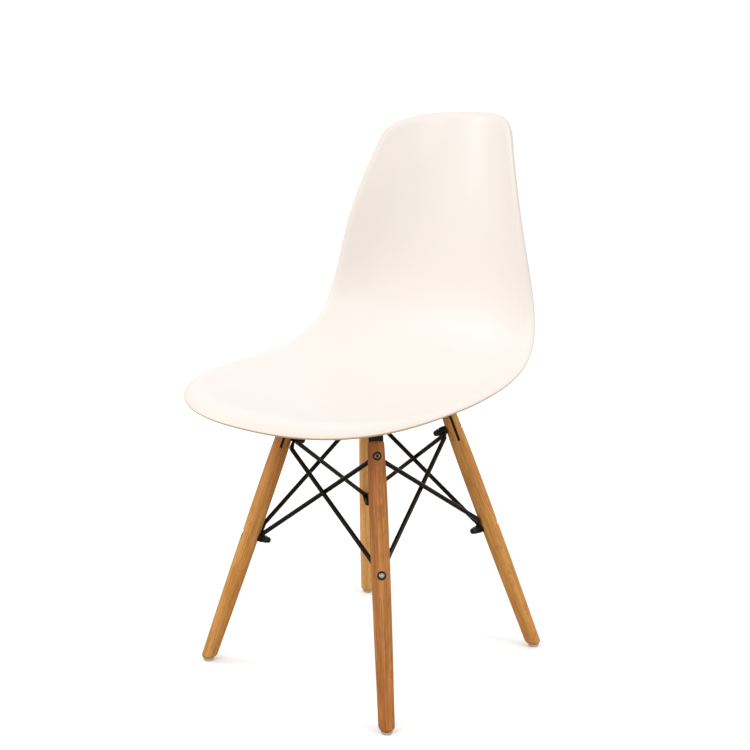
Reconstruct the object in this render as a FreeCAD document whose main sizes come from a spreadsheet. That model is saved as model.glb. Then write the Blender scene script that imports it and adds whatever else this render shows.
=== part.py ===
import FreeCAD, Part
import math
import os
from FreeCAD import Matrix, Placement, Rotation, Vector
from Sketcher import Constraint

# Moulded plastic shell chair on four splayed dowel legs with wire bracing.
# Millimetres and degrees. +Z is up, the sitter faces -Y, and +X is the sitter's left.
# The origin is on the floor, under the middle of the chair's bounding box.

DIMENSIONS = (
    # Seat shell
    ("shell_length", 731, "from the front edge over the seat to the top of the back"),
    ("shell_front_y", -215.9, "where the middle of the front edge lies"),
    ("shell_front_height", 430.6, "height of the middle of the front edge"),
    ("shell_wall", 4.5, "thickness of the moulded wall"),
    ("front_corner", 190, "length of the rounded front corners along the shell"),
    ("front_corner_power", 2.3, "superellipse power of the front corners"),
    ("top_corner", 41, "length of the rounded top corners along the shell"),
    ("top_corner_power", 2.7, "superellipse power of the top corners"),
    ("dish_power", 2.3, "how flat the middle of a cross-section is"),
    ("back_line_angle", 78, "line angle at which the sides rise level towards the sitter"),
    ("front_roll_radius", 35, "radius of the rolled front edge"),
    ("front_roll_angle", 66.5, "turn of the rolled front edge"),
    ("top_roll_radius", 24, "radius of the rolled top edge"),
    ("top_roll_angle", 34, "turn of the rolled top edge"),
    # Base
    ("base_centre_y", 4.3, "where the middle of the base lies"),
    ("front_azimuth", 43.8, "plan angle of the front legs from the X axis"),
    ("rear_azimuth", 47.7, "plan angle of the rear legs from the X axis"),
    ("front_foot_radius", 251, "front feet from the middle of the base"),
    ("rear_foot_radius", 259, "rear feet from the middle of the base"),
    ("front_tilt", 19.5, "lean of the front legs"),
    ("rear_tilt", 20.0, "lean of the rear legs"),
    # Legs
    ("front_leg_length", 398, "floor to a front leg's top along its axis"),
    ("rear_leg_length", 402.5, "floor to a rear leg's top along its axis"),
    ("leg_radius", 13.3, "at the thick middle"),
    ("leg_foot_radius", 11.4, "at the foot"),
    ("leg_top_radius", 11.5, "at the top"),
    ("leg_taper_end", 210, "where the lower taper reaches the thick middle"),
    ("leg_taper_start", 300, "where the upper taper starts"),
    ("leg_shoulder", 365, "where the upper taper steepens"),
    ("leg_shoulder_radius", 12.55, "there"),
    ("leg_blank_end", 12, "dowel below the floor before its foot is cut level"),
    ("foot_chamfer", 3.4, "chamfer round the foot"),
    ("top_chamfer", 1.2, "chamfer round the leg's top"),
    ("slot_depth", 39, "depth of the slot in the leg's top"),
    ("slot_width", 3.9, "width of the slot"),
    ("front_upper_bolt_height", 377.5, "upper bolt along a front leg"),
    ("rear_upper_bolt_height", 384, "upper bolt along a rear leg"),
    ("front_lower_bolt_height", 213, "lower bolt along a front leg"),
    ("rear_lower_bolt_height", 216.5, "lower bolt along a rear leg"),
    ("bolt_hole_radius", 3.3, "clearance hole for the leg bolts"),
    ("head_recess_radius", 6.2, "recess round a bolt head"),
    ("head_recess_floor", 8.4, "floor of that recess from the leg's axis"),
    ("washer_seat_radius", 7.5, "flat under the inner washer"),
    ("washer_seat_floor", 12, "that flat from the leg's axis"),
    # Glides
    ("glide_radius", 7.9, "plastic glide"),
    ("glide_height", 4.2, "plastic glide"),
    ("nail_radius", 1.1, "nail of a glide"),
    ("nail_length", 14, "floor to the start of its point"),
    ("nail_point", 2, "point of the nail"),
    ("nail_head_radius", 2.42, "countersunk head"),
    ("nail_sunk", 0.4, "floor to the head's face"),
    ("nail_head_top", 1.2, "floor to the head's narrow end"),
    ("glide_chamfer", 1, "round the glide's face"),
    # Steel frame under the seat
    ("frame_top", 403, "top of the frame arms"),
    ("strip_thickness", 3.5, "flat bar of the arms"),
    ("strip_width", 21, "flat bar of the arms"),
    ("strip_bend", 9, "radius of the bend's middle line"),
    ("tab_gap", 1.5, "end of an arm's tab to the bottom of the slot"),
    ("arm_start", 13, "inner end of an arm from the middle"),
    ("hub_hole_radius", 10, "hole in the middle of the hub"),
    ("hub_radius", 34, "plate that the arms are welded to"),
    ("hub_thickness", 3, "that plate"),
    ("seat_bolt_radius", 80, "seat bolts from the middle of the base"),
    # Seat fixings
    ("boss_radius", 14, "moulded boss under the seat"),
    ("insert_radius", 4.8, "threaded insert in a boss"),
    ("insert_length", 6, "threaded insert"),
    ("spacer_height", 3.5, "soft spacer between boss and arm"),
    ("spacer_radius", 12, "soft spacer"),
    # Leg fasteners
    ("bolt_radius", 2.95, "shank of all bolts"),
    ("head_radius", 5.25, "button head"),
    ("head_height", 3.3, "button head"),
    ("socket_flats", 4, "hexagon socket across flats"),
    ("socket_depth", 2.3, "hexagon socket"),
    ("bolt_reach", 29.5, "end of the leg bolt beyond the leg's axis"),
    ("washer_radius", 6.3, "plain washer"),
    ("washer_hole_radius", 3.1, "plain washer"),
    ("washer_thickness", 1.5, "plain washer"),
    ("nut_flats", 10, "cap nut across flats"),
    ("nut_hexagon", 5, "height of its hexagon"),
    ("nut_height", 11, "height with its dome"),
    ("nut_crown", 2, "wall over the blind bore"),
    ("thread_gap", 0.05, "bore of a thread beyond the shank's radius"),
    ("dome_inset", 0.3, "dome of a cap nut in from its flats"),
    ("bolt_dome", 2, "rounding of a button head"),
    ("tip_chamfer", 0.6, "end of a leg bolt"),
    ("hexagon_head", 4, "height of a seat bolt's head"),
    ("insert_bottom_gap", 0.8, "end of a seat bolt to the insert's end"),
    # Brace rods
    ("rod_radius", 3.4, "wire of the braces"),
    ("eye_radius", 6.6, "flattened eye at a rod's end"),
    ("eye_thickness", 3, "flattened eye"),
    ("outer_eye_neck", 14.4, "eye to the round wire on the rod next to the leg"),
    ("inner_eye_neck", 9.6, "eye to the round wire on the rod over it"),
    ("neck_width", 8, "flattened neck between eye and wire"),
    ("neck_overlap", 2.5, "neck over the round wire"),
    ("rod_bend", 6, "bend radius of a rod"),
    ("outer_rod_run", 22.6, "eye to bend on the rod next to the leg"),
    ("inner_rod_run", 12.4, "eye to bend on the rod over it"),
)

# Direction of the shell's middle line at ten even steps from the front edge to the top,
# measured from the horizontal, used as the control values of a smooth curve.
LINE_ANGLES = (-8, -4.5, 0, 3, 18.5, 63.5, 85, 80, 75, 76)
# Half the shell's width and the rise of its sides, at eight even steps.
HALF_WIDTHS = (249, 224.5, 210, 202, 191, 171.5, 140.5, 104.5)
SIDE_RISES = (26.5, 24, 28, 34, 41, 47.5, 53.5, 45.5)
# Radius and turn of the side edges' roll, at five even steps.
ROLL_RADII = (10, 12, 17, 13, 10)
ROLL_ANGLES = (55, 58, 62, 58, 50)

doc = FreeCAD.newDocument("shell_chair")
sheet = doc.addObject("Spreadsheet::Sheet", "Dimensions")
for row, (alias, number, words) in enumerate(DIMENSIONS, start=1):
    sheet.set("A%d" % row, alias)
    sheet.set("B%d" % row, str(number))
    sheet.set("C%d" % row, words)
    sheet.setAlias("B%d" % row, alias)


def set_list(column, name, values):
    """Puts one list of section values into a column of the sheet, with numbered aliases."""
    for step, number in enumerate(values, start=1):
        cell = "%s%d" % (column, step)
        sheet.set(cell, str(number))
        sheet.setAlias(cell, "%s_%d" % (name, step))


set_list("E", "line_angle", LINE_ANGLES)
set_list("F", "half_width", HALF_WIDTHS)
set_list("G", "side_rise", SIDE_RISES)
set_list("H", "roll_radius", ROLL_RADII)
set_list("I", "roll_angle", ROLL_ANGLES)
doc.recompute()


def number(alias):
    """The plain number in the sheet under that alias."""
    return float(getattr(sheet, alias))


def numbers(name, count):
    return [number("%s_%d" % (name, step)) for step in range(1, count + 1)]


class Size:
    """A value together with the sheet expression that gives it."""

    def __init__(self, value, text):
        self.value = value
        self.text = text

    @staticmethod
    def of(other):
        return other if isinstance(other, Size) else Size(float(other), repr(float(other)))

    def __add__(self, other):
        other = Size.of(other)
        return Size(self.value + other.value, "(%s + %s)" % (self.text, other.text))

    def __sub__(self, other):
        other = Size.of(other)
        return Size(self.value - other.value, "(%s - %s)" % (self.text, other.text))

    def __mul__(self, other):
        other = Size.of(other)
        return Size(self.value * other.value, "(%s * %s)" % (self.text, other.text))

    def __truediv__(self, other):
        other = Size.of(other)
        return Size(self.value / other.value, "(%s / %s)" % (self.text, other.text))

    def __neg__(self):
        return Size(-self.value, "(0 - %s)" % self.text)


def size(alias):
    return Size(number(alias), "Dimensions." + alias)


def cosine(angle):
    return Size(math.cos(math.radians(angle.value)), "cos(%s * 1 deg)" % angle.text)


def tangent(angle):
    return Size(math.tan(math.radians(angle.value)), "tan(%s * 1 deg)" % angle.text)


ZERO = Size(0.0, "0")
# Depth of a cut that starts inside a piece and ends in the open.
CUT_CLEAR = Size(8, "8")


# Helpers for bodies and sketches

def new_body(label):
    body = doc.addObject("PartDesign::Body", label)
    body.Label = label
    return body


def origin_feature(body, role):
    for feature in body.Origin.OriginFeatures:
        if feature.Role == role:
            return feature
    raise RuntimeError("no origin feature " + role)


def new_sketch(body, plane, name, offset=None):
    """A sketch on one of the body's origin planes, moved along its normal by an offset."""
    sketch = body.newObject("Sketcher::SketchObject", name)
    sketch.AttachmentSupport = [(origin_feature(body, plane), "")]
    sketch.MapMode = "FlatFace"
    if offset is not None:
        sketch.AttachmentOffset = Placement(Vector(0, 0, offset.value), Rotation())
        sketch.setExpression("AttachmentOffset.Base.z", offset.text)
    return sketch


def pin_point(sketch, curve, place, x, y):
    """Fixes one point of a curve at x, y from the sketch's origin."""
    for axis, kind, value in ((-2, "DistanceX", x), (-1, "DistanceY", y)):
        if value.value == 0.0:
            sketch.addConstraint(Constraint("PointOnObject", curve, place, axis))
        else:
            index = sketch.addConstraint(Constraint(kind, -1, 1, curve, place, value.value))
            sketch.setExpression("Constraints[%d]" % index, value.text)


def draw_outline(sketch, points):
    """A closed outline of straight runs through points, each a pair of sizes."""
    count = len(points)
    for index in range(count):
        start = points[index]
        end = points[(index + 1) % count]
        a = Vector(start[0].value, start[1].value, 0)
        b = Vector(end[0].value, end[1].value, 0)
        sketch.addGeometry(Part.LineSegment(a, b), False)
    for index in range(count):
        sketch.addConstraint(Constraint("Coincident", index, 2, (index + 1) % count, 1))
    for index, point in enumerate(points):
        pin_point(sketch, index, 1, point[0], point[1])


def draw_circle(sketch, x, y, radius):
    circle = Part.Circle(Vector(x.value, y.value, 0), Vector(0, 0, 1), radius.value)
    curve = sketch.addGeometry(circle, False)
    if x.value == 0.0 and y.value == 0.0:
        sketch.addConstraint(Constraint("Coincident", curve, 3, -1, 1))
    else:
        pin_point(sketch, curve, 3, x, y)
    index = sketch.addConstraint(Constraint("Radius", curve, radius.value))
    sketch.setExpression("Constraints[%d]" % index, radius.text)


def draw_hexagon(sketch, flats):
    """A hexagon round the sketch's origin, as wide across its flats as given."""
    half = flats / 2
    side = flats * tangent(Size(30, "30")) / 2
    corner = side * 2
    draw_outline(sketch, [
        (corner, ZERO), (side, half), (-side, half),
        (-corner, ZERO), (-side, -half), (side, -half)])


def revolve(body, name, points):
    """Turns an outline, drawn as radius and height, round the body's Z axis."""
    sketch = new_sketch(body, "XZ_Plane", name + "_outline")
    draw_outline(sketch, points)
    feature = body.newObject("PartDesign::Revolution", name)
    feature.Profile = sketch
    feature.ReferenceAxis = (sketch, ["V_Axis"])
    feature.Angle = 360
    return feature


def pad(body, name, sketch, length, midplane=False, reverse=False):
    feature = body.newObject("PartDesign::Pad", name)
    feature.Profile = sketch
    feature.Length = length.value
    feature.setExpression("Length", length.text)
    feature.Midplane = midplane
    feature.Reversed = reverse
    return feature


def pocket(body, name, sketch, length=None, reverse=False):
    """Cuts a sketch out of the body, both ways through all of it when no length is given."""
    doc.recompute()
    before = body.Shape.Volume
    feature = body.newObject("PartDesign::Pocket", name)
    feature.Profile = sketch
    if length is None:
        feature.Type = 1
        feature.Midplane = True
    else:
        feature.Length = length.value
        feature.setExpression("Length", length.text)
        feature.Reversed = reverse
    doc.recompute()
    if feature.Shape.Volume > before - 0.01:
        raise RuntimeError(body.Label + ": " + name + " cuts nothing")
    return feature


def bore(body, name, radius, length, placement):
    """Drills a round hole into the body from a placement, along its Z axis."""
    doc.recompute()
    before = body.Shape.Volume
    drill = body.newObject("PartDesign::SubtractiveCylinder", name)
    drill.setExpression("Radius", radius.text)
    drill.setExpression("Height", length.text)
    drill.Radius = radius.value
    drill.Height = length.value
    drill.Placement = placement
    doc.recompute()
    if drill.Shape.Volume > before - 0.01:
        raise RuntimeError(body.Label + ": " + name + " drills nothing")


def edges_where(feature, test):
    """Names of a feature's edges whose every end and middle point passes the test."""
    names = []
    for index, edge in enumerate(feature.Shape.Edges, start=1):
        low, high = edge.ParameterRange
        spots = [edge.valueAt(low + (high - low) * part) for part in (0, 0.25, 0.5, 0.75, 1)]
        if all(test(spot) for spot in spots):
            names.append("Edge%d" % index)
    if not names:
        raise RuntimeError(feature.Label + ": no such edge")
    return names


def round_edges(body, name, kind, amount, base, test):
    """A PartDesign Fillet or Chamfer on the base feature's edges that pass the test."""
    doc.recompute()
    feature = body.newObject("PartDesign::" + kind, name)
    feature.Base = (base, edges_where(base, test))
    prop = "Radius" if kind == "Fillet" else "Size"
    setattr(feature, prop, amount.value)
    feature.setExpression(prop, amount.text)
    return feature


def near(value, target, reach=0.05):
    return abs(value - target) < reach


# Where the four legs stand. Each corner has a frame of its own: Z up along the leg,
# X straight out from the leg's axis in its upright plane, and Y along the chair's side.

CORNERS = ("front_left", "rear_left", "rear_right", "front_right")


def corner_direction(corner):
    """Unit vector in plan from the base's middle to that corner."""
    end = corner.split("_")[0]
    angle = math.radians(number(end + "_azimuth"))
    side = 1 if corner.endswith("left") else -1
    way = -1 if end == "front" else 1
    return Vector(side * math.cos(angle), way * math.sin(angle), 0)


def base_centre(height=0.0):
    return Vector(0, number("base_centre_y"), height)


def frame_placement(origin, out, up):
    side = up.cross(out)
    matrix = Matrix(
        out.x, side.x, up.x, origin.x,
        out.y, side.y, up.y, origin.y,
        out.z, side.z, up.z, origin.z,
        0, 0, 0, 1)
    return Placement(matrix)


def leg_placement(corner):
    end = corner.split("_")[0]
    lean = math.radians(number(end + "_tilt"))
    plan = corner_direction(corner)
    up = plan * -math.sin(lean) + Vector(0, 0, math.cos(lean))
    out = plan * math.cos(lean) + Vector(0, 0, math.sin(lean))
    return frame_placement(base_centre() + plan * number(end + "_foot_radius"), out, up)


def upright_placement(corner, radius, height):
    """X out from the base's middle to the corner, Z up."""
    plan = corner_direction(corner)
    return frame_placement(base_centre(height) + plan * radius, plan, Vector(0, 0, 1))


# Seat shell: one wall that follows a smooth surface, rolled outwards at its edge.
# A point of the surface is named by x, its distance from the middle line along the
# cross-section, and by its distance along the middle line from the front edge.

LINE_STEPS = 600
WALL = number("shell_wall")
LENGTH = number("shell_length")
line_angles = numbers("line_angle", len(LINE_ANGLES))
half_widths = numbers("half_width", len(HALF_WIDTHS))
side_rises = numbers("side_rise", len(SIDE_RISES))
roll_radii = numbers("roll_radius", len(ROLL_RADII))
roll_angles = numbers("roll_angle", len(ROLL_ANGLES))


def smooth(values, share):
    """Value of the uniform cubic B-spline with these control values, at a share of the
    way along, each end carried on straight."""
    spans = len(values) - 1
    ends = [2 * values[0] - values[1]] + list(values) + [2 * values[-1] - values[-2]]
    place = min(max(share, 0.0), 1.0) * spans
    first = min(int(place), spans - 1)
    f = place - first
    weights = ((1 - f) ** 3, 3 * f ** 3 - 6 * f ** 2 + 4, -3 * f ** 3 + 3 * f ** 2 + 3 * f + 1, f ** 3)
    return sum(weight * ends[first + k] for k, weight in enumerate(weights)) / 6


def middle_line():
    """Points of the middle line at even steps, each step along the smooth direction."""
    step = LENGTH / LINE_STEPS
    y = number("shell_front_y")
    z = number("shell_front_height")
    points = [(y, z)]
    for index in range(LINE_STEPS):
        angle = math.radians(smooth(line_angles, (index + 0.5) / LINE_STEPS))
        y += step * math.cos(angle)
        z += step * math.sin(angle)
        points.append((y, z))
    return points


MIDDLE = middle_line()


def on_surface(x, along):
    """Point of the sitter's side: the middle line, plus x, plus the rise of the sides,
    which grows as a power of x over the half width. The rise points straight up where the
    line is level and straight forward at the back's line angle."""
    share = min(max(along / LENGTH, 0.0), 1.0)
    place = share * LINE_STEPS
    first = min(int(place), LINE_STEPS - 1)
    f = place - first
    angle = math.radians(smooth(line_angles, share))
    beyond = along - share * LENGTH
    y = MIDDLE[first][0] * (1 - f) + MIDDLE[first + 1][0] * f + beyond * math.cos(angle)
    z = MIDDLE[first][1] * (1 - f) + MIDDLE[first + 1][1] * f + beyond * math.sin(angle)
    part = abs(x) / smooth(half_widths, share)
    rise = smooth(side_rises, share) * part ** number("dish_power")
    way = angle * 90 / number("back_line_angle")
    return Vector(x, y - math.sin(way) * rise, z + math.cos(way) * rise)


def surface_normal(x, along):
    """Unit normal on the sitter's side."""
    across = on_surface(x + 0.5, along) - on_surface(x - 0.5, along)
    onward = on_surface(x, along + 0.5) - on_surface(x, along - 0.5)
    return across.cross(onward).normalize()


def outline_point(along, part):
    return part * smooth(half_widths, along / LENGTH), along


def half_outline():
    """Edge of the shell from the middle of the front to the middle of the top, at x >= 0:
    a superellipse round each corner and the half width between them."""
    fine = 240
    points = []
    for index in range(fine):
        turn = index / fine * math.pi / 2
        along = number("front_corner") * (1 - math.cos(turn) ** (2 / number("front_corner_power")))
        points.append(outline_point(along, math.sin(turn) ** (2 / number("front_corner_power"))))
    first = number("front_corner")
    last = LENGTH - number("top_corner")
    for index in range(fine):
        points.append(outline_point(first + (last - first) * index / fine, 1.0))
    for index in range(fine + 1):
        turn = (1 - index / fine) * math.pi / 2
        back = number("top_corner") * (1 - math.cos(turn) ** (2 / number("top_corner_power")))
        points.append(outline_point(LENGTH - back, math.sin(turn) ** (2 / number("top_corner_power"))))
    return points


OUTLINE = half_outline()
OUTLINE_LENGTHS = [0.0]
for before, after in zip(OUTLINE, OUTLINE[1:]):
    OUTLINE_LENGTHS.append(OUTLINE_LENGTHS[-1] + math.hypot(after[0] - before[0], after[1] - before[1]))


def outline_at(distance):
    """Point and outward direction of the edge, by its distance from the front middle."""
    index = 0
    while index < len(OUTLINE) - 2 and OUTLINE_LENGTHS[index + 1] < distance:
        index += 1
    a, b = OUTLINE[index], OUTLINE[index + 1]
    length = OUTLINE_LENGTHS[index + 1] - OUTLINE_LENGTHS[index]
    f = (distance - OUTLINE_LENGTHS[index]) / length
    point = (a[0] + (b[0] - a[0]) * f, a[1] + (b[1] - a[1]) * f)
    return point, ((b[1] - a[1]) / length, (a[0] - b[0]) / length)


def distance_where(test):
    """Distance along the edge of its first point that passes the test."""
    for index in range(len(OUTLINE) - 1):
        way = outline_at((OUTLINE_LENGTHS[index] + OUTLINE_LENGTHS[index + 1]) / 2)[1]
        if test(OUTLINE[index], way):
            return OUTLINE_LENGTHS[index]
    raise RuntimeError("no such place on the edge")


def rolled_edge(distance, side, steps):
    """The roll at one place of the edge: points on the sitter's side from the edge to the
    lip, as steps along an arc, each with its normal."""
    distance = min(max(distance, 0.0), OUTLINE_LENGTHS[-1])
    (x, along), (out_x, out_along) = outline_at(distance)
    if distance in (0.0, OUTLINE_LENGTHS[-1]):
        out_x = 0.0
        out_along = math.copysign(1.0, out_along)
    x *= side
    out_x *= side
    point = on_surface(x, along)
    normal = surface_normal(x, along)
    ahead = on_surface(x + out_x, along + out_along)
    behind = on_surface(x - out_x, along - out_along)
    outward = (ahead - behind).normalize()
    share = along / LENGTH
    front = max(0.0, -out_along) ** 1.5
    top = max(0.0, out_along) ** 1.5
    rest = 1 - front - top
    radius = (rest * smooth(roll_radii, share) + front * number("front_roll_radius")
              + top * number("top_roll_radius"))
    turn = math.radians(rest * smooth(roll_angles, share) + front * number("front_roll_angle")
                        + top * number("top_roll_angle"))
    places = []
    for step in steps:
        angle = turn * step
        place = point + outward * (radius * math.sin(angle)) - normal * (radius * (1 - math.cos(angle)))
        places.append((place, normal * math.cos(angle) + outward * math.sin(angle)))
    return places


def pole_steps(spans):
    """Places of the poles that keep a smooth clamped curve evenly spaced, from 0 to 1."""
    inner = list(range(1, spans))
    return [step / spans for step in [0, 1 / 3] + inner + [spans - 1 / 3, spans]]


SKIN_SPANS = 7
ROLL_SPANS = 4
ACROSS_SPANS = 12
ALONG_SPANS = 18
CORE_SHARE = 0.5
CORE_FRONT = 0.24
CORE_BACK = 0.8


def core_place(across, along_share):
    """Middle patch: across runs from -1 to 1, along_share from 0 to 1."""
    along = LENGTH * (CORE_FRONT + (CORE_BACK - CORE_FRONT) * along_share)
    return across * CORE_SHARE * smooth(half_widths, along / LENGTH), along


def spoke(inner, distance, side):
    """Poles from a place on the middle patch's border out to the edge and round the roll."""
    (x, along), _ = outline_at(distance)
    x *= side
    poles = []
    spans = SKIN_SPANS + ROLL_SPANS
    for step in pole_steps(spans):
        place = step * spans / SKIN_SPANS
        if place <= 1.0:
            px = inner[0] + (x - inner[0]) * place
            pa = inner[1] + (along - inner[1]) * place
            poles.append((on_surface(px, pa), surface_normal(px, pa)))
        else:
            turn = (step * spans - SKIN_SPANS) / ROLL_SPANS
            poles.extend(rolled_edge(distance, side, [turn]))
    return poles


def patch_rows():
    """Rows of poles, each with its normal, of the middle patch and the four round it."""
    total = OUTLINE_LENGTHS[-1]
    front_turn = distance_where(lambda point, way: -way[1] < way[0])
    top_turn = distance_where(lambda point, way: point[1] > LENGTH / 2 and way[1] > way[0])
    across = [2 * step - 1 for step in pole_steps(ACROSS_SPANS)]
    along = pole_steps(ALONG_SPANS)
    core = []
    for a in across:
        row = []
        for b in along:
            x, place = core_place(a, b)
            row.append((on_surface(x, place), surface_normal(x, place)))
        core.append(row)
    front = []
    top = []
    for a in across:
        side = math.copysign(1, a)
        front.append(spoke(core_place(a, 0), abs(a) * front_turn, side))
        top.append(spoke(core_place(a, 1), total - abs(a) * (total - top_turn), side))
    left = [spoke(core_place(1, b), front_turn + b * (top_turn - front_turn), 1) for b in along]
    right = [spoke(core_place(-1, b), front_turn + b * (top_turn - front_turn), -1) for b in along]
    return core, [front, top, left, right]


def spline_face(rows, degree_v=3):
    """Face of a clamped spline surface with evenly spaced knots through rows of poles."""
    def knots(count, degree):
        spans = count - degree
        return [degree + 1] + [1] * (spans - 1) + [degree + 1], [float(k) for k in range(spans + 1)]
    mults_u, knots_u = knots(len(rows), 3)
    mults_v, knots_v = knots(len(rows[0]), degree_v)
    surface = Part.BSplineSurface()
    surface.buildFromPolesMultsKnots(
        rows, mults_u, mults_v, knots_u, knots_v, False, False, 3, degree_v)
    return surface.toShape()


def shell_skin():
    """The closed wall: the sitter's side, the outer side one wall below it, and the lip
    between their borders."""
    core, borders = patch_rows()
    faces = []
    for rows in [core] + borders:
        faces.append(spline_face([[point for point, normal in row] for row in rows]))
        faces.append(spline_face([[point - normal * WALL for point, normal in row] for row in rows]))
    for rows in borders:
        lip = [[row[-1][0], row[-1][0] - row[-1][1] * WALL] for row in rows]
        faces.append(spline_face(lip, degree_v=1))
    wall = Part.makeCompound(faces)
    wall.sewShape(0.001)
    solid = Part.Solid(Part.Shell(wall.Faces))
    if solid.Volume < 0:
        solid.reverse()
    return solid


def underside_height(x, y):
    """Height of the shell's outer side near a place in plan."""
    low, high = 0.0, LENGTH * 0.6
    for _ in range(40):
        middle = (low + high) / 2
        if on_surface(x, middle).y < y:
            low = middle
        else:
            high = middle
    return on_surface(x, low).z - WALL


def seat_point(corner, height):
    """Where the seat bolt of that corner crosses a height."""
    return base_centre(height) + corner_direction(corner) * number("seat_bolt_radius")


BOSS_BOTTOM = number("frame_top") + number("spacer_height")


def make_seat_shell():
    skin = doc.addObject("Part::Feature", "shell_wall_solid")
    skin.Shape = shell_skin()
    bosses = []
    holes = []
    for corner in CORNERS:
        place = seat_point(corner, BOSS_BOTTOM)
        boss = doc.addObject("Part::Cylinder", "boss_" + corner)
        boss.setExpression("Radius", "Dimensions.boss_radius")
        boss.Height = underside_height(place.x, place.y) + WALL / 2 - BOSS_BOTTOM
        boss.Placement = Placement(place, Rotation())
        bosses.append(boss)
        hole = doc.addObject("Part::Cylinder", "insert_bore_" + corner)
        hole.setExpression("Radius", "Dimensions.insert_radius")
        hole.setExpression("Height", "Dimensions.insert_length + 1")
        hole.Placement = Placement(place - Vector(0, 0, 1), Rotation())
        holes.append(hole)
    joined = doc.addObject("Part::MultiFuse", "shell_with_bosses")
    joined.Shapes = [skin] + bosses
    bored = doc.addObject("Part::MultiFuse", "insert_bores")
    bored.Shapes = holes
    shell = doc.addObject("Part::Cut", "seat_shell")
    shell.Base = joined
    shell.Tool = bored
    shell.Label = "seat_shell"
    return shell


# Legs

def make_leg(corner):
    """A turned dowel, thickest in the middle, slotted and bored at the top, its foot cut
    level with the floor."""
    body = new_body("leg_" + corner)
    end = corner.split("_")[0]
    lean = size(end + "_tilt")
    length = size(end + "_leg_length")
    below = -size("leg_blank_end")
    revolve(body, "dowel", [
        (ZERO, below),
        (size("leg_foot_radius"), below),
        (size("leg_radius"), size("leg_taper_end")),
        (size("leg_radius"), size("leg_taper_start")),
        (size("leg_shoulder_radius"), size("leg_shoulder")),
        (size("leg_top_radius"), length),
        (ZERO, length)])
    sole = size("glide_height") / cosine(lean)
    fall = tangent(lean)
    wide = size("leg_radius") * 2
    deep = -size("leg_blank_end") * 5
    cut = new_sketch(body, "XZ_Plane", "foot_cut_outline")
    draw_outline(cut, [
        (wide, sole - wide * fall), (-wide, sole + wide * fall),
        (-wide, deep), (wide, deep)])
    foot = pocket(body, "foot_cut", cut)
    angle = math.radians(lean.value)

    def on_foot(spot):
        return near(spot.x * math.sin(angle) + spot.z * math.cos(angle), number("glide_height"), 0.01)

    foot_edge = round_edges(body, "foot_edge", "Chamfer", size("foot_chamfer"), foot, on_foot)
    round_edges(
        body, "top_edge", "Chamfer", size("top_chamfer"), foot_edge,
        lambda spot: near(spot.z, number(end + "_leg_length")))
    half = size("slot_width") / 2
    slot = new_sketch(body, "XZ_Plane", "slot_outline")
    draw_outline(slot, [
        (half, length - size("slot_depth")), (half, length + 1),
        (-half, length + 1), (-half, length - size("slot_depth"))])
    doc.recompute()
    pocket(body, "slot", slot)
    holes = new_sketch(body, "YZ_Plane", "bolt_holes_outline")
    seats_out = new_sketch(body, "YZ_Plane", "head_recess_outline", size("head_recess_floor"))
    seats_in = new_sketch(body, "YZ_Plane", "washer_seat_outline", -size("washer_seat_floor"))
    for level in ("upper", "lower"):
        height = size("%s_%s_bolt_height" % (end, level))
        draw_circle(holes, ZERO, height, size("bolt_hole_radius"))
        draw_circle(seats_out, ZERO, height, size("head_recess_radius"))
        draw_circle(seats_in, ZERO, height, size("washer_seat_radius"))
    pocket(body, "bolt_holes", holes)
    pocket(body, "head_recesses", seats_out, CUT_CLEAR, reverse=True)
    pocket(body, "washer_seats", seats_in, CUT_CLEAR)
    bore(body, "nail_bore", size("nail_radius"), size("nail_length"),
         Placement(Vector(0, 0, sole.value), Rotation(Vector(0, 1, 0), lean.value)))
    body.Placement = leg_placement(corner)
    return body


def glide_place(corner):
    """Middle of the leg's level foot: in from the axis at the floor by the glide's height
    times the tangent of the lean."""
    end = corner.split("_")[0]
    inward = number("glide_height") * math.tan(math.radians(number(end + "_tilt")))
    return number(end + "_foot_radius") - inward


def make_glide(corner):
    """Round plastic glide with a bore and a countersink for its nail."""
    body = new_body("glide_" + corner)
    radius = size("glide_radius")
    height = size("glide_height")
    nail = size("nail_radius")
    edge = size("glide_chamfer")
    revolve(body, "disc", [
        (nail, size("nail_head_top")), (size("nail_head_radius"), size("nail_sunk")),
        (size("nail_head_radius"), ZERO), (radius - edge, ZERO), (radius, edge),
        (radius, height), (nail, height)])
    body.Placement = upright_placement(corner, glide_place(corner), 0)
    return body


def make_nail_master():
    body = new_body("nail_master")
    nail = size("nail_radius")
    revolve(body, "nail", [
        (ZERO, size("nail_sunk")), (size("nail_head_radius"), size("nail_sunk")),
        (nail, size("nail_head_top")), (nail, size("nail_length")),
        (ZERO, size("nail_length") + size("nail_point"))])
    return body


# Steel frame

ARM_MIDDLE = number("frame_top") - number("strip_thickness") / 2


def arm_bend(end):
    """Radius in plan where the leg's axis crosses the arms' middle height."""
    return (number(end + "_foot_radius")
            - ARM_MIDDLE * math.tan(math.radians(number(end + "_tilt"))))


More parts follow.
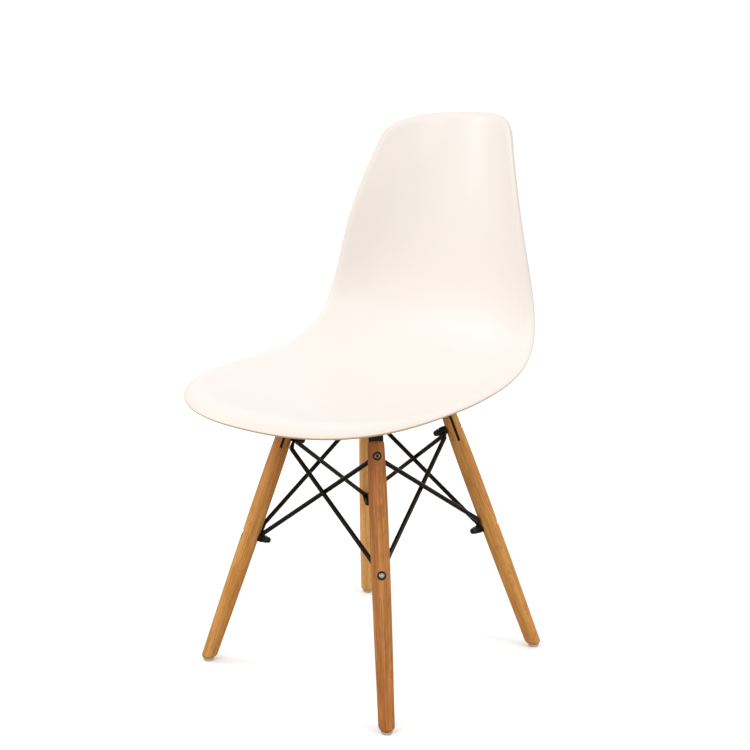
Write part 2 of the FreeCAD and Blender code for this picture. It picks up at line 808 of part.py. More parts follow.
def make_arm(corner):
    """Flat bar that runs out level under the seat, then bends down into the leg's slot."""
    body = new_body("frame_arm_" + corner)
    end = corner.split("_")[0]
    lean = size(end + "_tilt")
    bend = Size(arm_bend(end), "(Dimensions.%s_foot_radius - (Dimensions.frame_top"
                " - Dimensions.strip_thickness / 2) * tan(Dimensions.%s_tilt * 1 deg))" % (end, end))
    half = size("strip_thickness") / 2
    # Both sides of the strip meet at the bend on the line that halves its angle.
    turn = Size((90 - lean.value) / 2, "((90 - %s) / 2)" % lean.text)
    miter = half * tangent(turn)
    drop = -(size("frame_top") - size("strip_thickness") / 2
             - (size(end + "_leg_length") - size("slot_depth") + size("tab_gap")) * cosine(lean))
    run = -drop * tangent(lean)
    tip_out = half * cosine(lean)
    tip_up = half * Size(math.sin(math.radians(lean.value)), "sin(%s * 1 deg)" % lean.text)
    outline = new_sketch(body, "XZ_Plane", "side_outline")
    draw_outline(outline, [
        (size("arm_start"), half), (size("arm_start"), -half),
        (bend - miter, -half), (bend + run - tip_out, drop - tip_up),
        (bend + run + tip_out, drop + tip_up), (bend + miter, half)])
    strip = pad(body, "strip", outline, size("strip_width"), midplane=True)
    inner = size("strip_bend") - half
    outer = size("strip_bend") + half
    rounded = round_edges(
        body, "bend_inside", "Fillet", inner, strip,
        lambda spot: near(spot.x, (bend - miter).value) and near(spot.z, -half.value))
    rounded = round_edges(
        body, "bend_outside", "Fillet", outer, rounded,
        lambda spot: near(spot.x, (bend + miter).value) and near(spot.z, half.value))
    doc.recompute()
    seat_hole = new_sketch(body, "XY_Plane", "seat_hole_outline")
    draw_circle(seat_hole, size("seat_bolt_radius"), ZERO, size("bolt_hole_radius"))
    pocket(body, "seat_hole", seat_hole)
    # The tab's hole crosses it square, where the upper bolt crosses the leg's axis.
    angle = math.radians(lean.value)
    crossing = number(end + "_upper_bolt_height")
    out = number(end + "_foot_radius") - crossing * math.sin(angle)
    up = crossing * math.cos(angle) - ARM_MIDDLE
    clear = CUT_CLEAR.value
    start = Vector(out - clear * math.cos(angle), 0, up - clear * math.sin(angle))
    bore(body, "tab_hole", size("bolt_hole_radius"), CUT_CLEAR * 2,
         Placement(start, Rotation(Vector(0, 1, 0), 90 - lean.value)))
    body.Placement = upright_placement(corner, 0, ARM_MIDDLE)
    return body


def make_hub():
    """Round plate with a middle hole, welded on top of the arms' inner ends."""
    body = new_body("frame_hub")
    revolve(body, "plate", [
        (size("hub_hole_radius"), ZERO), (size("hub_radius"), ZERO),
        (size("hub_radius"), size("hub_thickness")), (size("hub_hole_radius"), size("hub_thickness"))])
    body.Placement = Placement(base_centre(number("frame_top")), Rotation())
    return body


# Brace rods: on each side of the chair two rods cross, each from the upper bolt of one
# leg to the lower bolt of the next.

def bolt_height(corner, level):
    return number("%s_%s_bolt_height" % (corner.split("_")[0], level))


def eye_centre(corner, level, layer):
    """Middle of an eye on a leg bolt. Layer 0 lies against the leg's washer, 1 over it."""
    inside = (number("washer_seat_floor") + number("washer_thickness")
              + number("eye_thickness") * (layer + 0.5))
    return leg_placement(corner).multVec(Vector(-inside, 0, bolt_height(corner, level)))


def leg_out(corner):
    return leg_placement(corner).Rotation.multVec(Vector(1, 0, 0))


def tangent_arc(before, corner_point, after, radius):
    """Arc of that radius in a corner between two straight runs, as its three points."""
    a = (before - corner_point).normalize()
    b = (after - corner_point).normalize()
    half = a.getAngle(b) / 2
    reach = radius / math.tan(half)
    centre = corner_point + (a + b).normalize() * (radius / math.sin(half))
    middle = centre + (corner_point - centre).normalize() * radius
    return corner_point + a * reach, middle, corner_point + b * reach


def eye_end(centre, out, along, reach):
    """Flattened eye with its bore, and the neck that widens into the round rod."""
    thick = number("eye_thickness")
    radius = number("eye_radius")
    disc = Part.makeCylinder(radius, thick, centre - out * (thick / 2), out)
    across = out.cross(along).normalize()
    half = number("neck_width") / 2
    start = centre - out * (thick / 2)
    corners = [start + across * half, start - across * half]
    length = reach + number("neck_overlap")
    corners.append(corners[1] + along * length)
    corners.append(corners[0] + along * length)
    neck = Part.Face(Part.makePolygon(corners + corners[:1])).extrude(out * thick)
    hole = Part.makeCylinder(number("bolt_hole_radius"), 2 * thick, centre - out * thick, out)
    return disc.fuse(neck).cut(hole)


def rod_shape(upper, lower, layer, neck, run):
    """Round wire between two eyes, bent where it leaves the planes of its eyes."""
    start = eye_centre(upper, "upper", layer)
    end = eye_centre(lower, "lower", layer)
    out_start = leg_out(upper)
    out_end = leg_out(lower)
    span = end - start
    along_start = (span - out_start * span.dot(out_start)).normalize()
    along_end = (out_end * span.dot(out_end) - span).normalize()
    corner_a = start + along_start * run
    corner_b = end + along_end * run
    wire_start = start + along_start * neck
    wire_end = end + along_end * neck
    arc_a = tangent_arc(wire_start, corner_a, corner_b, number("rod_bend"))
    arc_b = tangent_arc(corner_a, corner_b, wire_end, number("rod_bend"))
    edges = [
        Part.LineSegment(wire_start, arc_a[0]).toShape(),
        Part.Arc(*arc_a).toShape(),
        Part.LineSegment(arc_a[2], arc_b[0]).toShape(),
        Part.Arc(*arc_b).toShape(),
        Part.LineSegment(arc_b[2], wire_end).toShape()]
    path = Part.Wire(edges)
    ring = Part.Wire(Part.makeCircle(number("rod_radius"), wire_start, along_start))
    wire = path.makePipeShell([ring], True, False)
    shape = wire.fuse([
        eye_end(start, out_start, along_start, neck), eye_end(end, out_end, along_end, neck)])
    shape = shape.removeSplitter()
    return shape


RODS = []
for index, corner in enumerate(CORNERS):
    neighbour = CORNERS[(index + 1) % 4]
    RODS.append((corner, neighbour, 0, "outer"))
    RODS.append((neighbour, corner, 1, "inner"))


def make_rod(upper, lower, layer, kind):
    rod = doc.addObject("Part::Feature", "brace_%s_to_%s" % (upper, lower))
    rod.Shape = rod_shape(upper, lower, layer, number(kind + "_eye_neck"), number(kind + "_rod_run"))
    rod.Placement = Placement()
    rod.Label = rod.Name
    return rod


# Fasteners: one master of each kind, and groups of placed copies.

def make_leg_bolt():
    """Button head bolt along -X from its head's seat at the origin plane."""
    body = new_body("leg_bolt_master")
    seat = size("head_recess_floor")
    tip = -size("bolt_reach")
    shank = size("bolt_radius")
    head = size("head_radius")
    turned = revolve(body, "turned", [
        (ZERO, tip), (shank - size("tip_chamfer"), tip), (shank, tip + size("tip_chamfer")), (shank, seat),
        (head, seat), (head, seat + size("head_height")), (ZERO, seat + size("head_height"))])
    round_edges(
        body, "dome", "Fillet", size("bolt_dome"), turned,
        lambda spot: near(spot.z, (seat + size("head_height")).value)
        and near(math.hypot(spot.x, spot.y), head.value))
    doc.recompute()
    socket_floor = seat + size("head_height") - size("socket_depth")
    hexagon = new_sketch(body, "XY_Plane", "socket_outline", socket_floor)
    draw_hexagon(hexagon, size("socket_flats"))
    pocket(body, "socket", hexagon, CUT_CLEAR, reverse=True)
    return body


def make_seat_bolt():
    """Hexagon head bolt, head down, shank up into the shell's insert."""
    body = new_body("seat_bolt_master")
    head = new_sketch(body, "XY_Plane", "head_outline")
    draw_hexagon(head, size("nut_flats"))
    pad(body, "head", head, size("hexagon_head"), reverse=True)
    shank = new_sketch(body, "XY_Plane", "shank_outline")
    draw_circle(shank, ZERO, ZERO, size("bolt_radius"))
    reach = (size("washer_thickness") + size("strip_thickness") + size("spacer_height")
             + size("insert_length") - size("insert_bottom_gap"))
    pad(body, "shank", shank, reach)
    return body


def make_cap_nut():
    """Hexagon with a dome on it and a blind bore in its foot."""
    body = new_body("cap_nut_master")
    hexagon = new_sketch(body, "XY_Plane", "hexagon_outline")
    draw_hexagon(hexagon, size("nut_flats"))
    pad(body, "hexagon", hexagon, size("nut_hexagon"))
    dome = size("nut_flats") / 2 - size("dome_inset")
    crown = revolve(body, "crown", [
        (ZERO, size("nut_hexagon") - 1), (dome, size("nut_hexagon") - 1),
        (dome, size("nut_height")), (ZERO, size("nut_height"))])
    round_edges(
        body, "dome", "Fillet", dome - size("dome_inset"), crown,
        lambda spot: near(spot.z, number("nut_height")) and near(math.hypot(spot.x, spot.y), dome.value))
    doc.recompute()
    blind = new_sketch(body, "XY_Plane", "bore_outline")
    draw_circle(blind, ZERO, ZERO, size("bolt_radius") + size("thread_gap"))
    pocket(body, "blind_bore", blind, size("nut_height") - size("nut_crown"), reverse=True)
    return body


def make_ring(label, outside, inside, height):
    body = new_body(label)
    revolve(body, "ring", [(inside, ZERO), (outside, ZERO), (outside, height), (inside, height)])
    return body


def leg_stack(corner, level, inside, flip=True):
    """Placement on a leg bolt: the piece's Z runs inwards, or outwards if not flipped."""
    leg = leg_placement(corner)
    turn = Rotation(Vector(0, 1, 0), -90 if flip else 90)
    return leg.multiply(Placement(Vector(-inside, 0, bolt_height(corner, level)), turn))


def group(label, master, placements):
    """One sub-part made of placed copies of a master piece."""
    doc.recompute()
    solids = []
    for placement in placements:
        copy = master.Shape.copy()
        copy.Placement = placement.multiply(copy.Placement)
        solids.append(copy)
    feature = doc.addObject("Part::Feature", label)
    feature.Shape = Part.makeCompound(solids)
    feature.Placement = Placement()
    feature.Label = label
    return feature


def make_leg_fasteners():
    parts = []
    bolt = make_leg_bolt()
    nut = make_cap_nut()
    washer = make_ring("leg_washer_master", size("washer_radius"), size("washer_hole_radius"),
                       size("washer_thickness"))
    seat = number("washer_seat_floor")
    over = seat + number("washer_thickness") + 2 * number("eye_thickness")
    top = over + number("washer_thickness")
    for level in ("upper", "lower"):
        parts.append(group("leg_bolts_" + level, bolt,
                           [leg_stack(corner, level, 0, flip=False) for corner in CORNERS]))
        parts.append(group("wood_washers_" + level, washer,
                           [leg_stack(corner, level, seat) for corner in CORNERS]))
        parts.append(group("nut_washers_" + level, washer,
                           [leg_stack(corner, level, over) for corner in CORNERS]))
        parts.append(group("cap_nuts_" + level, nut,
                           [leg_stack(corner, level, top) for corner in CORNERS]))
    return parts


def make_seat_fasteners():
    bottom = number("frame_top") - number("strip_thickness")
    washer_bottom = bottom - number("washer_thickness")
    insert = make_ring("insert_master", size("insert_radius"), size("bolt_radius") + size("thread_gap"),
                       size("insert_length"))
    spacer = make_ring("spacer_master", size("spacer_radius"), size("bolt_hole_radius"),
                       size("spacer_height"))
    washer = make_ring("seat_washer_master", size("washer_radius"), size("washer_hole_radius"),
                       size("washer_thickness"))
    bolt = make_seat_bolt()

    def at(height):
        return [Placement(seat_point(corner, height), Rotation()) for corner in CORNERS]

    return [
        group("shell_inserts", insert, at(BOSS_BOTTOM)),
        group("seat_spacers", spacer, at(number("frame_top"))),
        group("seat_bolt_washers", washer, at(washer_bottom)),
        group("seat_bolts", bolt, at(washer_bottom))]


def main():
    subparts = [make_seat_shell(), make_hub()]
    for corner in CORNERS:
        subparts.append(make_arm(corner))
        subparts.append(make_leg(corner))
        subparts.append(make_glide(corner))
    for upper, lower, layer, run in RODS:
        subparts.append(make_rod(upper, lower, layer, run))
    subparts += make_leg_fasteners()
    subparts += make_seat_fasteners()
    nail = make_nail_master()
    subparts.append(group("glide_nails", nail, [
        upright_placement(corner, glide_place(corner), 0) for corner in CORNERS]))
    doc.recompute()

    for feature in doc.Objects:
        if "Invalid" in feature.State or "Error" in feature.State:
            raise RuntimeError(feature.Label + " failed: " + str(feature.State))
    for part in subparts:
        if part.Shape.isNull() or not part.Shape.isValid():
            raise RuntimeError(part.Label + " has no valid shape")

    os.makedirs("parts", exist_ok=True)
    box = FreeCAD.BoundBox()
    for part in subparts:
        part.Shape.exportStep("parts/%s.step" % part.Label)
        box.add(part.Shape.BoundBox)
        print("%-40s %2d solids %10.1f mm3" % (part.Label, len(part.Shape.Solids), part.Shape.Volume))
    print("box", box)


main()
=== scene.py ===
import math

import bmesh
import bpy
import numpy as np
from mathutils import Matrix, Vector


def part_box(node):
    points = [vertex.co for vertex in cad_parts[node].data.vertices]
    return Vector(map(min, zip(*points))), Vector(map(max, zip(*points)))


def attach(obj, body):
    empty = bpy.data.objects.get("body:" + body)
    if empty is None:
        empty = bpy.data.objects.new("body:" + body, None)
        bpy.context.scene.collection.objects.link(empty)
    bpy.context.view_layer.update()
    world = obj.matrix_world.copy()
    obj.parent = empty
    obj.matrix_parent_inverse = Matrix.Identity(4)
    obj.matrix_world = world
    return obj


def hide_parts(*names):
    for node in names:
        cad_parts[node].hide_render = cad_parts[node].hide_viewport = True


# Moulded shell chair on splayed beech legs with crossed wire braces. Sizes are in
# millimetres until a mesh is made. +Z is up, the sitter faces -Y, +X is the sitter's left.

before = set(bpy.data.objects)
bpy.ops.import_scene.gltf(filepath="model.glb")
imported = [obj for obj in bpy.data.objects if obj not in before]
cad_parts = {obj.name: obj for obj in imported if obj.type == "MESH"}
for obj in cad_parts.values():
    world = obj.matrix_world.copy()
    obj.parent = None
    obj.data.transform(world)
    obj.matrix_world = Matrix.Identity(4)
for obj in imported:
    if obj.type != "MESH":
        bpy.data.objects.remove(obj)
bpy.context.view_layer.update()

MM = 0.001
X_AXIS = np.array((1.0, 0.0, 0.0))
Y_AXIS = np.array((0.0, 1.0, 0.0))
Z_AXIS = np.array((0.0, 0.0, 1.0))

# Base: where the legs, bolts and braces are

CORNERS = ("front_left", "rear_left", "rear_right", "front_right")
BASE_CENTRE = np.array((0.0, 4.3, 0.0))
AZIMUTH = {"front": math.radians(43.8), "rear": math.radians(47.7)}
FOOT_RADIUS = {"front": 251.0, "rear": 259.0}
TILT = {"front": math.radians(19.5), "rear": math.radians(20.0)}
LEG_TOP = {"front": 398.0, "rear": 402.5}
BOLT_LEVELS = {"front": {"upper": 377.5, "lower": 213.0}, "rear": {"upper": 384.0, "lower": 216.5}}
SLOT_DEPTH = 39.0
SLOT_HALF = 1.95
GLIDE_HEIGHT = 4.2
FRAME_TOP = 403.0
STRIP_WIDTH = 21.0
STRIP_THICKNESS = 3.5
SEAT_BOLT_RADIUS = 80.0
SPACER_HEIGHT = 3.5
WASHER = 1.5
EYE_THICKNESS = 3.0
WASHER_SEAT = 12.0
HEAD_SEAT = 8.4

# Shell: the same section values as the CAD source

SHELL_LENGTH = 731.0
SHELL_FRONT = (-215.9, 430.6)
SHELL_WALL = 4.5
FRONT_CORNER = (190.0, 2.3)
TOP_CORNER = (41.0, 2.7)
DISH_POWER = 2.3
BACK_LINE_ANGLE = 78.0
FRONT_ROLL = (35.0, 66.5)
TOP_ROLL = (24.0, 34.0)
LINE_ANGLES = (-8, -4.5, 0, 3, 18.5, 63.5, 85, 80, 75, 76)
HALF_WIDTHS = (249, 224.5, 210, 202, 191, 171.5, 140.5, 104.5)
SIDE_RISES = (26.5, 24, 28, 34, 41, 47.5, 53.5, 45.5)
ROLL_RADII = (10, 12, 17, 13, 10)
ROLL_ANGLES = (55, 58, 62, 58, 50)


# Mesh helpers

def unit(vector):
    """Vectors over their lengths."""
    return vector / np.linalg.norm(vector, axis=-1, keepdims=True)


def grid_faces(rows, columns, wrap_columns=True, first=0):
    """Quads of a grid of points kept row by row. They face along column step x row step.
    The points' numbers start at first."""
    row = np.arange(rows - 1)[:, None]
    column = np.arange(columns if wrap_columns else columns - 1)[None, :]
    after = (column + 1) % columns
    quads = np.stack(np.broadcast_arrays(
        row * columns + column, row * columns + after,
        (row + 1) * columns + after, (row + 1) * columns + column), axis=-1)
    return (quads.reshape(-1, 4) + first).tolist()


def whole_turn(count):
    """Even angles once round."""
    return np.linspace(0, 2 * math.pi, count + 1)[:-1]


def eased(value, low, high):
    """0 below low, 1 above high, and between them 3 times the share's square less twice its
    cube."""
    share = np.clip((value - low) / (high - low), 0, 1)
    return share * share * (3 - 2 * share)


MERGED_WITHIN = 2e-6
NO_LENGTH = 1e-7


def make_piece(name, points, faces, material, slot, replaced=(), sharp=38.0, layers=None, inside=None):
    """A mesh object from points in millimetres, its doubles merged and its faces smooth
    except across edges sharper than the given angle. Layers are vectors kept on the points
    by name. The inside is a second material and a mark for each face that has it."""
    mesh = bpy.data.meshes.new(name)
    mesh.from_pydata((np.asarray(points) * MM).tolist(), [], [list(face) for face in faces])
    for title, values in (layers or {}).items():
        layer = mesh.attributes.new(title, "FLOAT_VECTOR", "POINT")
        layer.data.foreach_set("vector", values.astype(np.float32).ravel())
    if inside is not None:
        mesh.polygons.foreach_set("material_index", inside[1].astype(np.int32))
    work = bmesh.new()
    work.from_mesh(mesh)
    bmesh.ops.remove_doubles(work, verts=work.verts, dist=MERGED_WITHIN)
    bmesh.ops.dissolve_degenerate(work, edges=work.edges, dist=NO_LENGTH)
    work.to_mesh(mesh)
    work.free()
    mesh.shade_smooth()
    mesh.set_sharp_from_angle(angle=math.radians(sharp))
    mesh.materials.append(material)
    if inside is not None:
        mesh.materials.append(inside[0])
    piece = bpy.data.objects.new(name, mesh)
    bpy.context.scene.collection.objects.link(piece)
    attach(piece, "root")
    if replaced:
        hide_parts(*replaced)


class Shape:
    """Points and faces that several placed copies are gathered in."""

    def __init__(self):
        self.points = []
        self.faces = []
        self.count = 0

    def add(self, points, faces):
        points = np.asarray(points).reshape(-1, 3)
        self.points.append(points)
        self.faces.extend([[index + self.count for index in face] for face in faces])
        self.count += len(points)

    def make(self, name, material, slot, **more):
        make_piece(name, np.concatenate(self.points), self.faces, material, slot, **more)


# Placements: an origin and three axes, kept as rows

def end_of(corner):
    """Which end of the chair a corner is at, front or rear."""
    return corner.split("_")[0]


def corner_direction(corner):
    """Level unit vector from the base's centre to a corner: the cosine of the end's azimuth
    to the side, and its sine to the front or the rear."""
    end, side = corner.split("_")
    return np.array((math.copysign(math.cos(AZIMUTH[end]), 1 if side == "left" else -1),
                     math.copysign(math.sin(AZIMUTH[end]), -1 if end == "front" else 1), 0.0))


def placement(origin, out, up):
    """X is out, Z is up, and Y is their cross product."""
    return np.asarray(origin, float), np.stack((out, np.cross(up, out), up))


def leg_placement(corner):
    """Z up along the leg from the floor, X straight out from its axis."""
    end = end_of(corner)
    plan = corner_direction(corner)
    lean = TILT[end]
    up = -plan * math.sin(lean) + Z_AXIS * math.cos(lean)
    out = plan * math.cos(lean) + Z_AXIS * math.sin(lean)
    return placement(BASE_CENTRE + plan * FOOT_RADIUS[end], out, up)


def upright_placement(corner, radius, height):
    """Z up, X straight out, at a radius from the base's centre and a height."""
    plan = corner_direction(corner)
    return placement(BASE_CENTRE + plan * radius + Z_AXIS * height, plan, Z_AXIS)


def leg_stack(corner, level, distance, inward):
    """Z along a leg bolt, inwards or outwards, from a distance off the leg's axis."""
    origin, axes = leg_placement(corner)
    start = origin + axes[2] * BOLT_LEVELS[end_of(corner)][level] + axes[0] * distance
    return placement(start, axes[2], -axes[0] if inward else axes[0])


def put(points, where):
    """Each coordinate times its axis, summed, plus the origin."""
    return np.asarray(points) @ where[1] + where[0]


# The shell's surface

def smooth(values, share):
    """Uniform cubic B-spline with these control values, at shares of the way along, each
    end carried on straight."""
    values = np.asarray(values, float)
    ends = np.concatenate(([2 * values[0] - values[1]], values, [2 * values[-1] - values[-2]]))
    spans = len(values) - 1
    place = np.clip(share, 0.0, 1.0) * spans
    first = np.minimum(place.astype(int), spans - 1)
    f = place - first
    return ((1 - f) ** 3 * ends[first] + (3 * f ** 3 - 6 * f ** 2 + 4) * ends[first + 1]
            + (-3 * f ** 3 + 3 * f ** 2 + 3 * f + 1) * ends[first + 2] + f ** 3 * ends[first + 3]) / 6


LINE_STEPS = 600
OUTLINE_STEPS = 240
_turns = np.radians(smooth(LINE_ANGLES, (np.arange(LINE_STEPS) + 0.5) / LINE_STEPS))
_step = SHELL_LENGTH / LINE_STEPS
MIDDLE_Y = SHELL_FRONT[0] + np.concatenate(([0.0], np.cumsum(np.cos(_turns)) * _step))
MIDDLE_Z = SHELL_FRONT[1] + np.concatenate(([0.0], np.cumsum(np.sin(_turns)) * _step))


def on_surface(x, along):
    """The sitter's side: the middle line at a distance along it, plus x, plus a rise that
    grows as a power of x over the half width and turns with the line."""
    x, along = np.broadcast_arrays(np.asarray(x, float), np.asarray(along, float))
    share = np.clip(along / SHELL_LENGTH, 0.0, 1.0)
    angle = np.radians(smooth(LINE_ANGLES, share))
    beyond = along - share * SHELL_LENGTH
    steps = np.arange(LINE_STEPS + 1) / LINE_STEPS
    y = np.interp(share, steps, MIDDLE_Y) + beyond * np.cos(angle)
    z = np.interp(share, steps, MIDDLE_Z) + beyond * np.sin(angle)
    rise = smooth(SIDE_RISES, share) * (np.abs(x) / smooth(HALF_WIDTHS, share)) ** DISH_POWER
    way = angle * 90 / BACK_LINE_ANGLE
    return np.stack((x, y - np.sin(way) * rise, z + np.cos(way) * rise), axis=-1)


def surface_normal(x, along):
    """Cross product of the surface's steps across and onward, each one millimetre long."""
    across = on_surface(x + 0.5, along) - on_surface(x - 0.5, along)
    onward = on_surface(x, along + 0.5) - on_surface(x, along - 0.5)
    return unit(np.cross(across, onward))


def half_outline():
    """Edge from the middle of the front to the middle of the top: superellipse corners and
    the half width between them."""
    shares = np.arange(OUTLINE_STEPS) / OUTLINE_STEPS
    turn = shares * math.pi / 2
    front_along = FRONT_CORNER[0] * (1 - np.cos(turn) ** (2 / FRONT_CORNER[1]))
    front_part = np.sin(turn) ** (2 / FRONT_CORNER[1])
    last = SHELL_LENGTH - TOP_CORNER[0]
    side_along = FRONT_CORNER[0] + (last - FRONT_CORNER[0]) * shares
    turn = (1 - np.append(shares, 1.0)) * math.pi / 2
    top_along = SHELL_LENGTH - TOP_CORNER[0] * (1 - np.cos(turn) ** (2 / TOP_CORNER[1]))
    top_part = np.sin(turn) ** (2 / TOP_CORNER[1])
    along = np.concatenate((front_along, side_along, top_along))
    part = np.concatenate((front_part, np.ones(OUTLINE_STEPS), top_part))
    return np.stack((part * smooth(HALF_WIDTHS, along / SHELL_LENGTH), along), axis=-1)


OUTLINE = half_outline()
_runs = np.linalg.norm(np.diff(OUTLINE, axis=0), axis=1)
EDGE_LENGTHS = np.concatenate(([0.0], np.cumsum(_runs)))
_ways = np.diff(OUTLINE, axis=0) / _runs[:, None]
EDGE_MIDDLES = (EDGE_LENGTHS[1:] + EDGE_LENGTHS[:-1]) / 2
EDGE_TOTAL = EDGE_LENGTHS[-1]


def outline_at(distance):
    """Place of the edge and its outward way, by the distance from the front middle."""
    place = np.stack([np.interp(distance, EDGE_LENGTHS, OUTLINE[:, k]) for k in (0, 1)], axis=-1)
    way = np.stack([np.interp(distance, EDGE_MIDDLES, _ways[:, k]) for k in (0, 1)], axis=-1)
    out = unit(np.stack((way[:, 1], -way[:, 0]), axis=-1))
    middle = (distance < 1e-6) | (distance > EDGE_TOTAL - 1e-6)
    out[middle, 0] = 0.0
    out[middle, 1] = np.sign(out[middle, 1])
    return place, out


# The front's and the top's own rolls come in by this power of the edge's outward way.
END_ROLL_POWER = 1.5


def rolled_edge(distance, side, turns):
    """Points and normals of the roll beyond the edge: an arc that starts level with the
    surface and turns away from the sitter."""
    (x, along), (out_x, out_along) = (part.T for part in outline_at(distance))
    x, out_x = x * side, out_x * side
    point, normal = on_surface(x, along), surface_normal(x, along)
    outward = unit(on_surface(x + out_x, along + out_along) - on_surface(x - out_x, along - out_along))
    share = along / SHELL_LENGTH
    front = np.maximum(0.0, -out_along) ** END_ROLL_POWER
    top = np.maximum(0.0, out_along) ** END_ROLL_POWER
    rest = 1 - front - top
    radius = rest * smooth(ROLL_RADII, share) + front * FRONT_ROLL[0] + top * TOP_ROLL[0]
    turn = np.radians(rest * smooth(ROLL_ANGLES, share) + front * FRONT_ROLL[1] + top * TOP_ROLL[1])
    angle = (turn[:, None] * turns)[:, :, None]
    radius = radius[:, None, None]
    normal, outward = normal[:, None], outward[:, None]
    places = point[:, None] + outward * radius * np.sin(angle) - normal * radius * (1 - np.cos(angle))
    return places, normal * np.cos(angle) + outward * np.sin(angle)


def spline_weights(spans, places):
    """Weights of a clamped even cubic B-spline's poles: each degree blends two neighbours
    of the degree below by how far a place lies between their knots."""
    knots = np.concatenate((np.zeros(3), np.arange(spans + 1.0), np.full(3, float(spans))))
    t = (np.clip(places, 0.0, 1.0 - 1e-9) * spans)[:, None]
    weights = ((t >= knots[:-1]) & (t < knots[1:])).astype(float)
    for degree in (1, 2, 3):
        count = len(knots) - 1 - degree
        low, high = knots[:count], knots[degree + 1:]
        left = knots[degree:degree + count] - low
        right = high - knots[1:1 + count]
        rising = (t - low) / np.where(left > 0, left, 1.0) * (left > 0)
        falling = (high - t) / np.where(right > 0, right, 1.0) * (right > 0)
        weights = rising * weights[:, :count] + falling * weights[:, 1:count + 1]
    return weights


# The ring's spline spans and rows: over the skin up to the edge, and over the roll.
SKIN_SPANS, ROLL_SPANS = 7, 4
SKIN_ROWS, ROLL_ROWS = 21, 18
RING_SPANS = SKIN_SPANS + ROLL_SPANS
# The middle grid's share of the half width, its ends along the shell, and its quads.
CORE_SHARE, CORE_FRONT, CORE_BACK = 0.5, 0.24, 0.8
CORE_ACROSS, CORE_ALONG = 56, 84
LIP_RADIUS, LIP_ROWS = 1.7, 6
# How tan each row of the trimmed lip is, its own tan and partly painted shade on its
# underside, and how much of that tan the lip and the roll have at shares of the way from
# the front to the top.
LIP_TONES = (0.45, 0.85, 1, 1, 1, 1, 1, 1, 1, 0.9, 0.6, 0.3)
LIP_SHARES, LIP_STRENGTHS = (0.0, 0.25, 0.5, 1.0), (1.0, 0.7, 0.45, 0.35)
# The roll's painted shade: it darkens towards the lip, this much at the lip, growing by this power.
ROLL_PAINTED_SHADE, ROLL_PAINTED_SHADE_POWER = 0.24, 1.5


def core_place(across, along_share):
    """The middle grid's place: a share of the half width across, and a share of the way
    from its front to its back along."""
    along = SHELL_LENGTH * (CORE_FRONT + (CORE_BACK - CORE_FRONT) * along_share)
    return across * CORE_SHARE * smooth(HALF_WIDTHS, along / SHELL_LENGTH), along


